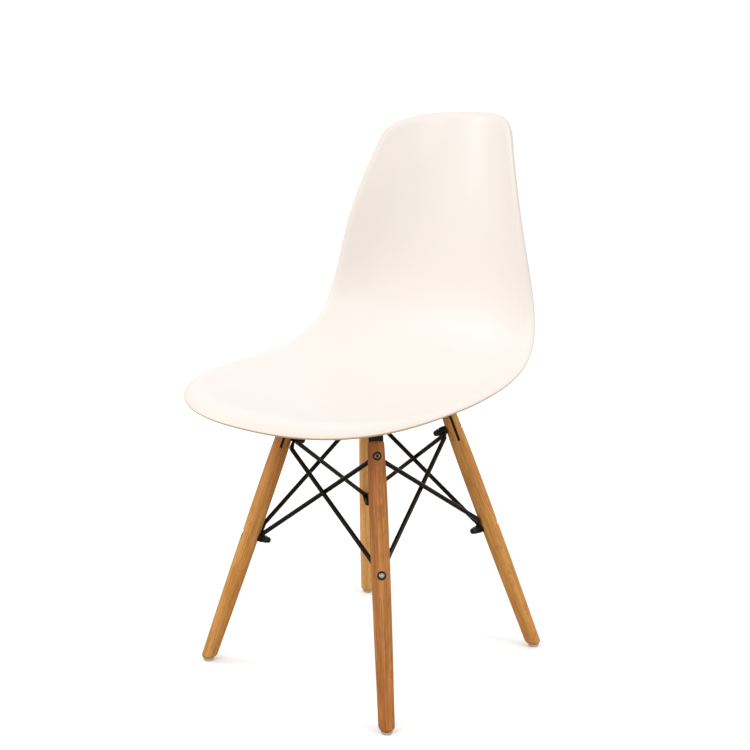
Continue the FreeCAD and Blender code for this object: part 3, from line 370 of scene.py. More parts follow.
def shell_mesh():
    """The closed wall. A middle grid on the sitter's side, a ring of columns from its
    border out to the edge, over the roll, round the lip and back, and the middle grid
    again one wall below. Also gives how tan each point is: the lip, its own tan and partly
    painted shade, and, less, the roll, where the tan is painted shade."""
    _, out = outline_at(EDGE_MIDDLES)
    front_turn = EDGE_LENGTHS[:-1][out[:, 0] > -out[:, 1]][0]
    late = (OUTLINE[:-1, 1] > SHELL_LENGTH / 2) & (out[:, 1] > out[:, 0])
    top_turn = EDGE_LENGTHS[:-1][late][0]
    across = np.linspace(-1, 1, CORE_ACROSS + 1)
    along = np.linspace(0, 1, CORE_ALONG + 1)
    one_a, one_b = np.ones(CORE_ACROSS), np.ones(CORE_ALONG)
    # Border of the middle grid, once round: front, left side, top, right side.
    border_a = np.concatenate((across[:-1], one_b, across[:0:-1], -one_b))
    border_b = np.concatenate((0 * one_a, along[:-1], one_a, along[:0:-1]))
    span = top_turn - front_turn
    top_span = EDGE_TOTAL - top_turn
    distance = np.concatenate((
        np.abs(across[:-1]) * front_turn, front_turn + along[:-1] * span,
        EDGE_TOTAL - np.abs(across[:0:-1]) * top_span, front_turn + along[:0:-1] * span))
    side = np.where(border_a < 0, -1.0, 1.0)
    x0, a0 = core_place(border_a, border_b)
    edge = outline_at(distance)[0]
    steps = np.concatenate(([0, 1 / 3], np.arange(1, RING_SPANS), [RING_SPANS - 1 / 3, RING_SPANS]))
    skin = steps[steps < SKIN_SPANS + 1e-6] / SKIN_SPANS
    turns = (steps[steps > SKIN_SPANS + 1e-6] - SKIN_SPANS) / ROLL_SPANS
    px = x0[:, None] + (edge[:, 0] * side - x0)[:, None] * skin
    pa = a0[:, None] + (edge[:, 1] - a0)[:, None] * skin
    roll, roll_normal = rolled_edge(distance, side, turns)
    poles = np.concatenate((on_surface(px, pa), roll), axis=1)
    normals = np.concatenate((surface_normal(px, pa), roll_normal), axis=1)
    skin_places = np.linspace(0, SKIN_SPANS, SKIN_ROWS + 1)[:-1]
    places = np.concatenate((skin_places, np.linspace(SKIN_SPANS, RING_SPANS, ROLL_ROWS)))
    weights = spline_weights(RING_SPANS, places / RING_SPANS)
    inner = np.einsum("ij,mjk->imk", weights, poles)
    outer = np.einsum("ij,mjk->imk", weights, poles - normals * SHELL_WALL)
    # Both corners of the lip are rounded.
    way = unit(inner[-1] - inner[-2])
    normal = unit(inner[-1] - outer[-1])
    arc = np.linspace(0, math.pi / 2, LIP_ROWS)[:, None, None]
    near_centre = inner[-1] - (way + normal) * LIP_RADIUS
    far_centre = outer[-1] - (way - normal) * LIP_RADIUS
    lip = np.concatenate((
        near_centre + (way * np.sin(arc) + normal * np.cos(arc)) * LIP_RADIUS,
        far_centre + (way * np.cos(arc) - normal * np.sin(arc)) * LIP_RADIUS))
    ring = np.concatenate((inner[:-1], lip, outer[:-1][::-1]))
    # The roll is darkened towards the lip as painted shade, and the lip takes its tan, partly painted
    # shade; both less towards the top.
    turned_share = np.clip((places[:-1] - SKIN_SPANS) / ROLL_SPANS, 0, None)[:, None]
    roll_painted_shade = ROLL_PAINTED_SHADE * turned_share ** ROLL_PAINTED_SHADE_POWER
    strength = np.interp(edge[:, 1] / SHELL_LENGTH, LIP_SHARES, LIP_STRENGTHS)
    tone = strength * np.concatenate((roll_painted_shade, np.array(LIP_TONES)[:, None], roll_painted_shade[::-1]))
    # The middle grids take the ring's first and last rows as their border.
    grid_a, grid_b = np.meshgrid(across, along)
    core = on_surface(*core_place(grid_a, grid_b))
    under = core - surface_normal(*core_place(grid_a, grid_b)) * SHELL_WALL
    points = np.concatenate((core.reshape(-1, 3), under.reshape(-1, 3), ring.reshape(-1, 3)))
    size = (CORE_ALONG + 1) * (CORE_ACROSS + 1)
    tone = np.concatenate((np.zeros(2 * size), tone.ravel()))
    faces = grid_faces(CORE_ALONG + 1, CORE_ACROSS + 1, False)
    faces += [face[::-1] for face in grid_faces(CORE_ALONG + 1, CORE_ACROSS + 1, False, size)]
    faces += [face[::-1] for face in grid_faces(len(ring), len(distance), True, 2 * size)]
    return points, faces, np.stack((tone, 0 * tone, 0 * tone), axis=-1)


def fit_to_box(points, low, high):
    """Stretches points by a hair so that they reach a box's sides, back and top, given in
    metres. The box's bottom belongs to the bosses, so heights are only moved."""
    low, high = np.array(low) / MM, np.array(high) / MM
    least, most = points.min(0), points.max(0)
    size = np.where((True, True, False), (high - low) / (most - least), 1.0)
    return high - (most - points) * size


# The seat is this share of the middle line, and a place on it is found by halvings.
SEAT_SHARE = 0.6
HALVINGS = 30


def underside_height(x, y):
    """Height of the shell's outer side over places in plan, by halving along the line."""
    low, high = np.zeros_like(x), np.full_like(x, SHELL_LENGTH * SEAT_SHARE)
    for _ in range(HALVINGS):
        middle = (low + high) / 2
        short = on_surface(x, middle)[:, 1] < y
        low, high = np.where(short, middle, low), np.where(short, high, middle)
    return on_surface(x, low)[:, 2] - SHELL_WALL


# A boss: its rings' radii, and their heights, in millimetres on the flat end and then as
# shares of the way up to the shell. It starts in its hole and ends sunk in the wall.
BOSS_RADII = np.array((4.9, 5.6, 12.6, 13.6, 14.0, 14.0, 14.3, 15.2, 17.0, 20.0, 21.0))
BOSS_RISES = np.array((0.0, 0.0, 0.0, 0.4, 1.2, 0.2, 0.45, 0.7, 0.9, 1.0, 1.0))
BOSS_END_RINGS = 5
BOSS_COLUMNS = 48
BOSS_HOLE = 5.8
BOSS_SINK = 0.4


def boss_mesh(corner):
    """A round boss that flares into the shell: a profile turned round the seat bolt, its
    top rows laid on the shell's underside."""
    centre = BASE_CENTRE + corner_direction(corner) * SEAT_BOLT_RADIUS
    bottom = FRAME_TOP + SPACER_HEIGHT
    turn = whole_turn(BOSS_COLUMNS)
    x = centre[0] + np.outer(BOSS_RADII, np.cos(turn))
    y = centre[1] + np.outer(BOSS_RADII, np.sin(turn))
    top = underside_height(x.ravel(), y.ravel()).reshape(x.shape) + BOSS_SINK
    on_end = np.arange(len(BOSS_RADII))[:, None] < BOSS_END_RINGS
    z = bottom + np.where(on_end, 1.0, top - bottom) * BOSS_RISES[:, None]
    hole = np.stack((x[0], y[0], np.full_like(x[0], bottom + BOSS_HOLE)), axis=-1)
    points = np.concatenate((hole, np.stack((x, y, z), axis=-1).reshape(-1, 3)))
    faces = [face[::-1] for face in grid_faces(len(BOSS_RADII) + 1, BOSS_COLUMNS)]
    return points, faces + [list(range(BOSS_COLUMNS))]


# Turned and hexagonal pieces

def ringed(rings, segments):
    """Rings round Z, each a size, a height and how hexagonal it is: a share of 1 gives a
    hexagon with the size as half its width across flats."""
    rings = np.asarray(rings, float)
    turn = whole_turn(segments)
    hexagon = 1 / np.cos((turn + math.pi / 6) % (math.pi / 3) - math.pi / 6)
    radius = rings[:, :1] * (1 + rings[:, 2:3] * (hexagon - 1))
    height = np.broadcast_to(rings[:, 1:2], radius.shape)
    points = np.stack((radius * np.cos(turn), radius * np.sin(turn), height), axis=-1)
    return points.reshape(-1, 3), grid_faces(len(rings), segments)


def washer_rings(outside, inside, height, edge):
    """A flat ring between two radii, both its outer edges cut off by the same amount."""
    return [(inside, 0, 0), (outside - edge, 0, 0), (outside, edge, 0), (outside, height - edge, 0),
            (outside - edge, height, 0), (inside, height, 0), (inside, 0, 0)]


def copies(name, rings, places, material, slot, replaced, segments=48, socket=None):
    """One piece made of the same turned shape at several places. The first two bands of
    faces, a bolt's socket, may have a material of their own."""
    points, faces = ringed(rings, segments)
    shape = Shape()
    for where in places:
        shape.add(put(points, where), faces)
    inside = None
    if socket is not None:
        inside = (socket, np.arange(len(shape.faces)) % len(faces) < 2 * segments)
    shape.make(name, material, slot, replaced=replaced, inside=inside)


# Turned shapes as rings: size, height and how hexagonal.
WASHER_RINGS = washer_rings(6.3, 3.1, WASHER, 0.25)
SPACER_RINGS = washer_rings(12.0, 3.3, SPACER_HEIGHT, 0.8)
BUTTON_HEAD = [
    (0, 0.9, 0), (2.0, 0.9, 1), (2.0, 2.95, 1), (2.15, 3.2, 0.9), (2.7, 3.28, 0), (3.3, 3.14, 0),
    (4.0, 2.75, 0), (4.6, 2.1, 0), (5.0, 1.25, 0), (5.2, 0.55, 0), (5.25, 0.2, 0), (5.1, 0, 0),
    (2.95, 0, 0), (2.95, -37.3, 0), (2.35, -37.9, 0), (0, -37.9, 0)]
CAP_NUT = [
    (2.98, 9.0, 0), (2.98, 0, 0), (4.5, 0, 0.9), (5.0, 0.45, 1), (5.0, 4.4, 1), (4.75, 4.95, 0.75),
    (4.7, 5.1, 0), (4.7, 6.6, 0), (4.45, 8.0, 0), (3.8, 9.4, 0), (2.8, 10.4, 0), (1.5, 10.9, 0),
    (0, 11.0, 0)]
SEAT_BOLT = [
    (0, -4, 0), (4.4, -4, 0.6), (5.0, -3.6, 1), (5.0, -0.3, 1), (4.7, 0, 1), (2.95, 0, 0),
    (2.95, 13.1, 0), (2.5, 13.7, 0), (0, 13.7, 0)]
GLIDE = [
    (1.1, 4.2, 0), (1.1, 1.2, 0), (2.42, 0.4, 0), (2.42, 0, 0), (6.7, 0, 0), (7.35, 0.2, 0),
    (7.8, 0.8, 0), (7.9, 1.4, 0), (7.9, 4.1, 0), (7.8, 4.2, 0), (1.1, 4.2, 0)]
HUB = [
    (10, 0, 0), (33.6, 0, 0), (34, 0.4, 0), (34, 2.6, 0), (33.6, 3, 0), (10.4, 3, 0),
    (10, 2.6, 0), (10, 0, 0)]


# Legs

# The leg's radius at even steps from the floor to a full length along its axis.
LEG_RADII = (11.25, 11.7, 12.25, 12.75, 13.1, 13.3, 13.35, 13.35, 13.25, 12.75, 11.45)
RADII_LENGTH = 402.0
# The foot's rings as insets and lifts off the level cut, and the shares of the way from
# them up to the first straight row.
FOOT_RINGS = ((3.5, 0.0), (3.3, 0.08), (3.05, 0.3), (1.9, 1.75), (0.7, 3.2), (0.3, 3.85), (0.05, 4.6),
              (0.0, 5.6))
FOOT_HEIGHT = 5.0
FOOT_SHARES = (0.3, 0.65)
FIRST_ROW = 30.0
# The top's rows below its end, and how far the last five are drawn in.
TOP_DROPS = np.array((5.0, 1.9, 1.2, 0.45, 0.1, 0.0))
TOP_INSETS = (0.03, 0.3, 1.0, 1.35, 1.6)
# A bolt's window on the leg: its rings, its half size, and the leg's radius there. Then the
# rings' radii in the recess and on the flat, the share of the leg's own surface that each
# keeps, and the share of the square grid.
RINGS = 9
WINDOW = 9.6
WINDOW_RADIUS = 12.9
HEAD_RECESS = np.array((0, 2.4, 4.6, 5.8, 6.05, 6.2, 6.4, 6.9, 7.7, 9.0))
WASHER_FLAT = np.array((0, 2.6, 5.2, 6.9, 7.35, 7.5, 7.7, 8.0, 8.4, 9.0))
RECESS_SHARE = np.array((0, 0, 0, 0, 0, 0.85, 1, 1, 1, 1.0))
SQUARE_SHARE = np.array((0, 0, 0, 0, 0, 0, 0, 0.1, 0.5, 1.0))
# Rings that keep less than this share of the leg's surface are marked for the recess's painted shade.
SHADE_MARK_SHARE = 0.9
# How many columns lie between a window and a slot, and how many rows below the lower window
# and between the windows.
SIDE_COLUMNS, LOW_ROWS, MIDDLE_ROWS = 6, 12, 9


def leg_radius(height):
    """The smooth curve through the leg's radii."""
    return smooth(LEG_RADII, np.asarray(height, float) / RADII_LENGTH)


def leg_mesh(corner):
    """A turned leg as one grid round its axis: the radius times the turn's cosine and sine.
    Round each bolt the grid's squares become circles, sunk to the recess's floor, and at the
    foot its rows follow the level cut. Also gives a mark for each point in a bolt's recess,
    where the wood gets a painted shade."""
    end = end_of(corner)
    lean, leg_top = TILT[end], LEG_TOP[end]
    step = np.arange(-RINGS, RINGS + 1) / RINGS
    window = np.arcsin(WINDOW * step / WINDOW_RADIUS)
    slot_edge = math.acos(SLOT_HALF / WINDOW_RADIUS)
    between = np.linspace(window[-1], slot_edge, SIDE_COLUMNS)[1:]
    half = np.concatenate((-between[::-1], window, between))
    count = len(half)
    turn = np.concatenate((half, half + math.pi))
    levels = [BOLT_LEVELS[end][name] for name in ("lower", "upper")]
    windows = [level + WINDOW * step for level in levels]
    rows = np.concatenate((
        np.linspace(FIRST_ROW, windows[0][0], LOW_ROWS)[:-1], windows[0],
        np.linspace(windows[0][-1], leg_top - SLOT_DEPTH, MIDDLE_ROWS)[1:], windows[1],
        leg_top - TOP_DROPS))
    top_inset = np.zeros(len(rows))
    top_inset[-len(TOP_INSETS):] = TOP_INSETS

    height = np.repeat(rows[:, None], 2 * count, axis=1)
    radius = leg_radius(height) - top_inset[:, None]
    x, y = radius * np.cos(turn), radius * np.sin(turn)
    edges = (0, count - 1, count, 2 * count - 1)
    x[:, edges] = np.sign(x[:, edges]) * SLOT_HALF
    y[:, edges] = np.sign(y[:, edges]) * np.sqrt(radius[:, edges] ** 2 - SLOT_HALF ** 2)

    across, up = np.meshgrid(step, step)
    ring = np.rint(np.maximum(np.abs(across), np.abs(up)) * RINGS).astype(int)
    length = np.maximum(np.hypot(across, up), 1e-9)
    first_column = len(between)
    recess_shade = np.zeros(height.shape)
    for level in levels:
        start = int(np.argmin(np.abs(rows - (level - WINDOW))))
        for base, floor, radii in ((0, HEAD_SEAT, HEAD_RECESS), (count, WASHER_SEAT, WASHER_FLAT)):
            part = (slice(start, start + 2 * RINGS + 1),
                    slice(base + first_column, base + first_column + 2 * RINGS + 1))
            sign = 1.0 if base == 0 else -1.0
            share = SQUARE_SHARE[ring]
            round_y = radii[ring] * across / length
            round_z = radii[ring] * up / length
            new_y = (1 - share) * round_y + share * y[part] * sign
            new_z = (1 - share) * round_z + share * (height[part] - level)
            surface = np.sqrt(leg_radius(level + new_z) ** 2 - new_y ** 2)
            sunk = np.minimum(surface, floor)
            depth = sunk + (surface - sunk) * RECESS_SHARE[ring]
            x[part], y[part], height[part] = depth * sign, new_y * sign, level + new_z
            # The recess's floor and walls are marked for painted shade.
            recess_shade[part] = RECESS_SHARE[ring] < SHADE_MARK_SHARE

    # Foot: rings on and just over the level cut, then rows that even out upwards.
    foot = []
    foot_turn = np.cos(turn), np.sin(turn)
    for inset, lift in FOOT_RINGS:
        size = leg_radius(FOOT_HEIGHT) - inset
        fx, fy = size * foot_turn[0], size * foot_turn[1]
        foot.append((fx, fy, (GLIDE_HEIGHT + lift - fx * math.sin(lean)) / math.cos(lean)))
    low_z = foot[-1][2]
    for share in FOOT_SHARES:
        fz = low_z + (FIRST_ROW - low_z) * share
        size = leg_radius(fz)
        foot.append((size * foot_turn[0], size * foot_turn[1], fz))
    foot = np.array([np.stack(part, axis=-1) for part in foot])
    points = np.concatenate((foot, np.stack((x, y, height), axis=-1)))
    total = len(points)
    columns = 2 * count
    slot_row = len(foot) + int(np.argmin(np.abs(rows - (leg_top - SLOT_DEPTH))))

    faces = []
    for face in grid_faces(total, columns):
        low = min(face) // columns
        crosses = (face[0] % columns) in (count - 1, columns - 1)
        if not (crosses and low >= slot_row):
            faces.append(face)
    for row in range(slot_row, total - 1):
        a, b = row * columns, (row + 1) * columns
        faces.append([a + count - 1, a, b, b + count - 1])
        faces.append([a + columns - 1, a + count, b + count, b + columns - 1])
    a = slot_row * columns
    faces.append([a, a + count - 1, a + count, a + columns - 1])
    last = (total - 1) * columns
    faces.append(list(range(last, last + count)))
    faces.append(list(range(last + count, last + columns)))
    faces.append(list(range(columns))[::-1])
    recess_shade = np.concatenate((np.zeros((len(foot), columns)), recess_shade))
    return points.reshape(-1, 3), faces, recess_shade.ravel()


# Bars and wires carried along a path

def swept(path, sides, normals, sections):
    """A section carried along a path: each point is the path's plus the section's first
    number times the side and its second times the normal. Both ends are closed."""
    points = path[:, None] + sections[..., :1] * sides[:, None] + sections[..., 1:] * normals[:, None]
    rows, columns = points.shape[:2]
    faces = grid_faces(rows, columns)
    faces.append(list(range(columns))[::-1])
    faces.append(list(range((rows - 1) * columns, rows * columns)))
    return points.reshape(-1, 3), faces


def arc_between(before, corner, after, radius, steps):
    """Points of the arc that rounds a corner between two straight runs."""
    a, b = unit(before - corner), unit(after - corner)
    half = math.acos(np.clip(a @ b, -1, 1)) / 2
    centre = corner + unit(a + b) * radius / math.sin(half)
    start = corner + a * radius / math.tan(half) - centre
    end = corner + b * radius / math.tan(half) - centre
    turn = math.acos(np.clip(unit(start) @ unit(end), -1, 1))
    share = np.linspace(0, 1, steps)[:, None]
    return centre + (start * np.sin((1 - share) * turn) + end * np.sin(share * turn)) / math.sin(turn)


CORNER_POINTS = 4


def rounded_rectangle(width, height, radius):
    """Quarter circles at the four corners, joined by the sides."""
    angle = np.linspace(0, math.pi / 2, CORNER_POINTS)
    arc = np.stack((np.cos(angle), np.sin(angle)), axis=-1) * radius
    points = []
    for quarter, (sx, sy) in enumerate(((1, 1), (-1, 1), (-1, -1), (1, -1))):
        turned = arc if quarter % 2 == 0 else arc[::-1]
        points.append(turned * (sx, sy) + ((width / 2 - radius) * sx, (height / 2 - radius) * sy))
    return np.concatenate(points)


ARM_START = 13.0
ARM_BEND = 9.0
ARM_EDGE = 0.7
TAB_GAP = 1.5
# How far the level rows stop before the bend's corner and the tab's start after it, and the
# rows of the level run, the bend and the tab.
BEFORE_BEND, AFTER_BEND = 12, 8
LEVEL_ROWS, BEND_ROWS, TAB_ROWS = 8, 12, 5


def arm_mesh(corner):
    """Flat bar: level under the seat, an arc, then down the leg's axis into its slot."""
    end = end_of(corner)
    lean = TILT[end]
    middle = FRAME_TOP - STRIP_THICKNESS / 2
    bend = FOOT_RADIUS[end] - middle * math.tan(lean)
    tip = (LEG_TOP[end] - SLOT_DEPTH + TAB_GAP) * math.cos(lean)
    start = np.array((ARM_START, 0.0, 0.0))
    corner_point = np.array((bend, 0.0, 0.0))
    finish = np.array((bend + (middle - tip) * math.tan(lean), 0.0, tip - middle))
    path = np.concatenate((
        np.linspace(start, corner_point - X_AXIS * BEFORE_BEND, LEVEL_ROWS),
        arc_between(start, corner_point, finish, ARM_BEND, BEND_ROWS),
        np.linspace(corner_point + unit(finish - corner_point) * AFTER_BEND, finish, TAB_ROWS)))
    ahead = unit(np.gradient(path, axis=0))
    sides = np.broadcast_to(Y_AXIS, path.shape)
    normals = np.cross(ahead, sides)
    section = rounded_rectangle(STRIP_WIDTH, STRIP_THICKNESS, ARM_EDGE)
    sections = np.broadcast_to(section, (len(path),) + section.shape)
    points, faces = swept(path, sides, normals, sections)
    faces = [face[::-1] for face in faces]
    return put(points, upright_placement(corner, 0, middle)), faces


ROD_RADIUS = 3.4
ROD_BEND = 6.0
EYE_RADIUS = 6.6
# From an eye to the bend, on the rod next to the leg and on the rod over it.
OUTER_RUN, INNER_RUN = 22.6, 12.4
# Places along the flattened end from the eye's middle, with the least room that they leave
# before the bend, and where the neck starts and stops narrowing and growing round.
NECK_PLACES = (1.3, 2.6, 3.9, 5.0, 5.8, 6.4, 7.0, 7.8, 8.6, 9.4)
BEND_ROOM = 2.6
NECK_HALF = 4.2
NARROWS = (5.0, 15.0)
GROWS_ROUND = (7.0, 15.0)
# Rows of the eye, of a bend and of the straight run, and columns round the wire. The first
# row is this turn from the eye's tip, in radians.
EYE_ROWS, WIRE_BEND_ROWS, STRAIGHT_ROWS, WIRE_COLUMNS = 9, 9, 16, 32
EYE_TIP = 0.12


def rod_mesh(upper, lower, layer, run):
    """Round wire between two flattened eyes. By the distance from the nearer eye, the
    section goes from a flat oblong, as wide as the eye's circle, to the wire's circle."""
    ends = []
    for corner, level in ((upper, "upper"), (lower, "lower")):
        origin, axes = leg_placement(corner)
        inside = WASHER_SEAT + WASHER + EYE_THICKNESS * (layer + 0.5)
        height = BOLT_LEVELS[end_of(corner)][level]
        ends.append((origin + axes[2] * height - axes[0] * inside, axes[0]))
    (start, out_start), (end, out_end) = ends
    span = end - start
    along_start = unit(span - out_start * (span @ out_start))
    along_end = unit(out_end * (span @ out_end) - span)
    corner_a, corner_b = start + along_start * run, end + along_end * run
    eye_turn = np.linspace(EYE_TIP, math.pi / 2, EYE_ROWS)
    near = np.concatenate((-EYE_RADIUS * np.cos(eye_turn), NECK_PLACES))
    near = near[near < run - BEND_ROOM]
    path = np.concatenate((
        start + near[:, None] * along_start,
        arc_between(start, corner_a, corner_b, ROD_BEND, WIRE_BEND_ROWS),
        np.linspace(corner_a, corner_b, STRAIGHT_ROWS)[2:-2],
        arc_between(corner_a, corner_b, end, ROD_BEND, WIRE_BEND_ROWS),
        end + near[::-1, None] * along_end))
    ahead = unit(np.gradient(path, axis=0))
    distance = np.concatenate(([0.0], np.cumsum(np.linalg.norm(np.diff(path, axis=0), axis=1))))
    from_eye = np.minimum(distance, distance[-1] - distance) + near[0]
    # The normal leaves each eye square to it, and turns evenly in between.
    share = eased(distance, distance[-1] * 0.25, distance[-1] * 0.75)[:, None]
    normals = out_start * (1 - share) + out_end * share
    normals = unit(normals - ahead * np.sum(normals * ahead, axis=1, keepdims=True))
    sides = np.cross(normals, ahead)
    # Half the width is a soft maximum of the eye's circle and the neck.
    disc = np.sqrt(np.maximum(EYE_RADIUS ** 2 - from_eye ** 2, 0.3))
    neck = NECK_HALF + (ROD_RADIUS - NECK_HALF) * eased(from_eye, *NARROWS)
    wide = np.where(from_eye < 0, disc, (disc ** 5 + neck ** 5) ** 0.2)
    round_share = eased(from_eye, *GROWS_ROUND)
    thick = EYE_THICKNESS / 2 + (ROD_RADIUS - EYE_THICKNESS / 2) * round_share
    # A superellipse whose power falls from 6, nearly a rectangle, to 2, a circle.
    power = 2 / (6.0 - 4.0 * round_share)
    turn = whole_turn(WIRE_COLUMNS)
    c, s = np.cos(turn), np.sin(turn)
    sections = np.stack((
        wide[:, None] * np.sign(c) * np.abs(c) ** power[:, None],
        thick[:, None] * np.sign(s) * np.abs(s) ** power[:, None]), axis=-1)
    return swept(path, sides, normals, sections)


# Materials

def new_group(name, inputs, outputs):
    """A node group with its named inputs and outputs, and its two end nodes."""
    group = bpy.data.node_groups.new(name, "ShaderNodeTree")
    for title, kind, value in inputs:
        socket = group.interface.new_socket(title, in_out="INPUT", socket_type=kind)
        if value is not None:
            socket.default_value = value
    for title, kind in outputs:
        group.interface.new_socket(title, in_out="OUTPUT", socket_type=kind)
    return group, group.nodes.new("NodeGroupInput"), group.nodes.new("NodeGroupOutput")


class Maker:
    """Adds nodes to one tree, each with its settings and linked or plain inputs. An input is
    named by its label, with _ for a space, or by i and its place."""

    def __init__(self, tree):
        self.tree = tree

    def add(self, kind, settings=None, **inputs):
        node = self.tree.nodes.new("ShaderNode" + kind)
        for key, value in (settings or {}).items():
            setattr(node, key, value)
        for key, value in inputs.items():
            self.feed(node, key.replace("_", " "), value)
        return node

    def feed(self, node, key, value):
        socket = node.inputs[int(key[1:])] if key[0] == "i" and key[1:].isdigit() else node.inputs[key]
        if isinstance(value, bpy.types.NodeSocket):
            self.tree.links.new(value, socket)
        else:
            socket.default_value = value

    def math(self, operation, a, b):
        return self.add("Math", {"operation": operation}, i0=a, i1=b).outputs[0]

    def blend(self, share, a, b, mode="MIX"):
        node = self.add("Mix", {"data_type": "RGBA", "blend_type": mode, "clamp_factor": True})
        for index, value in ((0, share), (6, a), (7, b)):
            self.feed(node, "i%d" % index, value)
        return node.outputs[2]

    def spread(self, value, low, high, to_low=0.0, to_high=1.0):
        return self.add("MapRange", {"clamp": True}, Value=value, From_Min=low, From_Max=high,
                        To_Min=to_low, To_Max=to_high).outputs[0]

    def noise(self, vector, scale, detail, roughness, distortion=0.0):
        return self.add("TexNoise", None, Vector=vector, Scale=scale, Detail=detail,
                        Roughness=roughness, Distortion=distortion).outputs["Fac"]


# The mottle's two noises: the share of each, how many times finer the second is, and the
# span of their sum that is used.
COARSE_SHARE, FINE_SHARE, FINER = 0.65, 0.35, 7.3
MOTTLE_SPAN = (0.32, 0.68)
# The grain: the swell's scale against the pebble's, and the height of each against the depth.
SWELL_SCALE, PEBBLE_HEIGHT, SWELL_HEIGHT = 0.06, 0.5, 1.5


def mottle_group():
    """Cloudy variation round a middle value, from two noises of different size."""
    group, given, out = new_group("mottle", (
        ("Vector", "NodeSocketVector", None), ("Scale", "NodeSocketFloat", 20.0),
        ("Low", "NodeSocketFloat", 0.0), ("High", "NodeSocketFloat", 1.0)),
        (("Value", "NodeSocketFloat"),))
    make = Maker(group)
    coarse = make.noise(given.outputs["Vector"], given.outputs["Scale"], 3.0, 0.55)
    fine_scale = make.math("MULTIPLY", given.outputs["Scale"], FINER)
    fine = make.noise(given.outputs["Vector"], fine_scale, 2.0, 0.6)
    coarse_part = make.math("MULTIPLY", coarse, COARSE_SHARE)
    total = make.math("ADD", coarse_part, make.math("MULTIPLY", fine, FINE_SHARE))
    spread = make.spread(total, *MOTTLE_SPAN, given.outputs["Low"], given.outputs["High"])
    group.links.new(spread, out.inputs["Value"])
    return group


def grain_group():
    """Moulded or sprayed surface: a fine pebble over a slower swell, as a height in metres."""
    group, given, out = new_group("fine_grain", (
        ("Vector", "NodeSocketVector", None), ("Pebble", "NodeSocketFloat", 900.0),
        ("Depth", "NodeSocketFloat", 0.00002)), (("Height", "NodeSocketFloat"),))
    make = Maker(group)
    pebble = make.noise(given.outputs["Vector"], given.outputs["Pebble"], 2.0, 0.5)
    swell_scale = make.math("MULTIPLY", given.outputs["Pebble"], SWELL_SCALE)
    swell = make.noise(given.outputs["Vector"], swell_scale, 1.0, 0.4)
    pebble_part = make.math("MULTIPLY", pebble, PEBBLE_HEIGHT)
    height = make.math("ADD", pebble_part, make.math("MULTIPLY", swell, SWELL_HEIGHT))
    group.links.new(make.math("MULTIPLY", height, given.outputs["Depth"]), out.inputs["Height"])
    return group


MOTTLE = mottle_group()
GRAIN = grain_group()


def new_material(name, values):
    """A material with a Principled shader whose plain values are set on its sockets."""
    material = bpy.data.materials.new(name)
    material.use_nodes = True
    shader = material.node_tree.nodes["Principled BSDF"]
    for key, value in values.items():
        shader.inputs[key].default_value = value
    return material, Maker(material.node_tree), shader


def mottled(make, vector, scale, low, high):
    """The mottle group's value, between a low and a high."""
    node = make.add("Group", {"node_tree": MOTTLE}, Vector=vector, Scale=scale, Low=low, High=high)
    return node.outputs["Value"]


def dented(make, shader, height, strength):
    """Bends the shader's normal by a height in metres."""
    bump = make.add("Bump", None, Strength=strength, Distance=1.0, Height=height)
    make.feed(shader, "Normal", bump.outputs["Normal"])


def layer_of(make, title):
    """The vectors that a piece keeps on its points under this name."""
    return make.add("Attribute", {"attribute_name": title}).outputs["Vector"]


# The clouds of roughness are this many times finer than those of colour.
ROUGHNESS_FINER = 2.3


def plain_finish(name, dark, light, roughness, scale, pebble, depth, values=None, tan_and_shade=None):
    """A finish with cloudy colour and roughness and a fine grain: plastics, paint, metals.
    It may turn to another tone where a layer on the points says so; on the shell that tone is
    partly painted shade."""
    material, make, shader = new_material(name, values or {})
    where = make.add("TexCoord").outputs["Object"]
    colour = make.blend(mottled(make, where, scale, 0.0, 1.0), dark + (1.0,), light + (1.0,))
    if tan_and_shade is not None:
        share = make.add("SeparateXYZ", None, Vector=layer_of(make, tan_and_shade[0])).outputs["X"]
        colour = make.blend(share, colour, tan_and_shade[1] + (1.0,))
    make.feed(shader, "Base Color", colour)
    make.feed(shader, "Roughness", mottled(make, where, scale * ROUGHNESS_FINER, *roughness))
    grain = make.add("Group", {"node_tree": GRAIN}, Vector=where, Pebble=pebble, Depth=depth)
    dented(make, shader, grain.outputs["Height"], 1.0)
    return material


# Deep brown painted into the bolt recesses as painted shade.
RECESS_PAINTED_SHADE = (0.095, 0.032, 0.010, 1.0)
STAIN = (0.90, 0.74, 0.66, 1.0)
FLECK = (0.230, 0.085, 0.025, 1.0)
# Heights of the pores and fibres and depth of the flecks, in metres.
PORE_RISE, FIBRE_RISE, FLECK_DEPTH = 0.00004, 0.00003, 0.00003
LACQUER_BUMP = 0.6
# How far the bolt recesses turn to that painted shade.
RECESS_PAINTED_SHADE_SHARE = 0.85


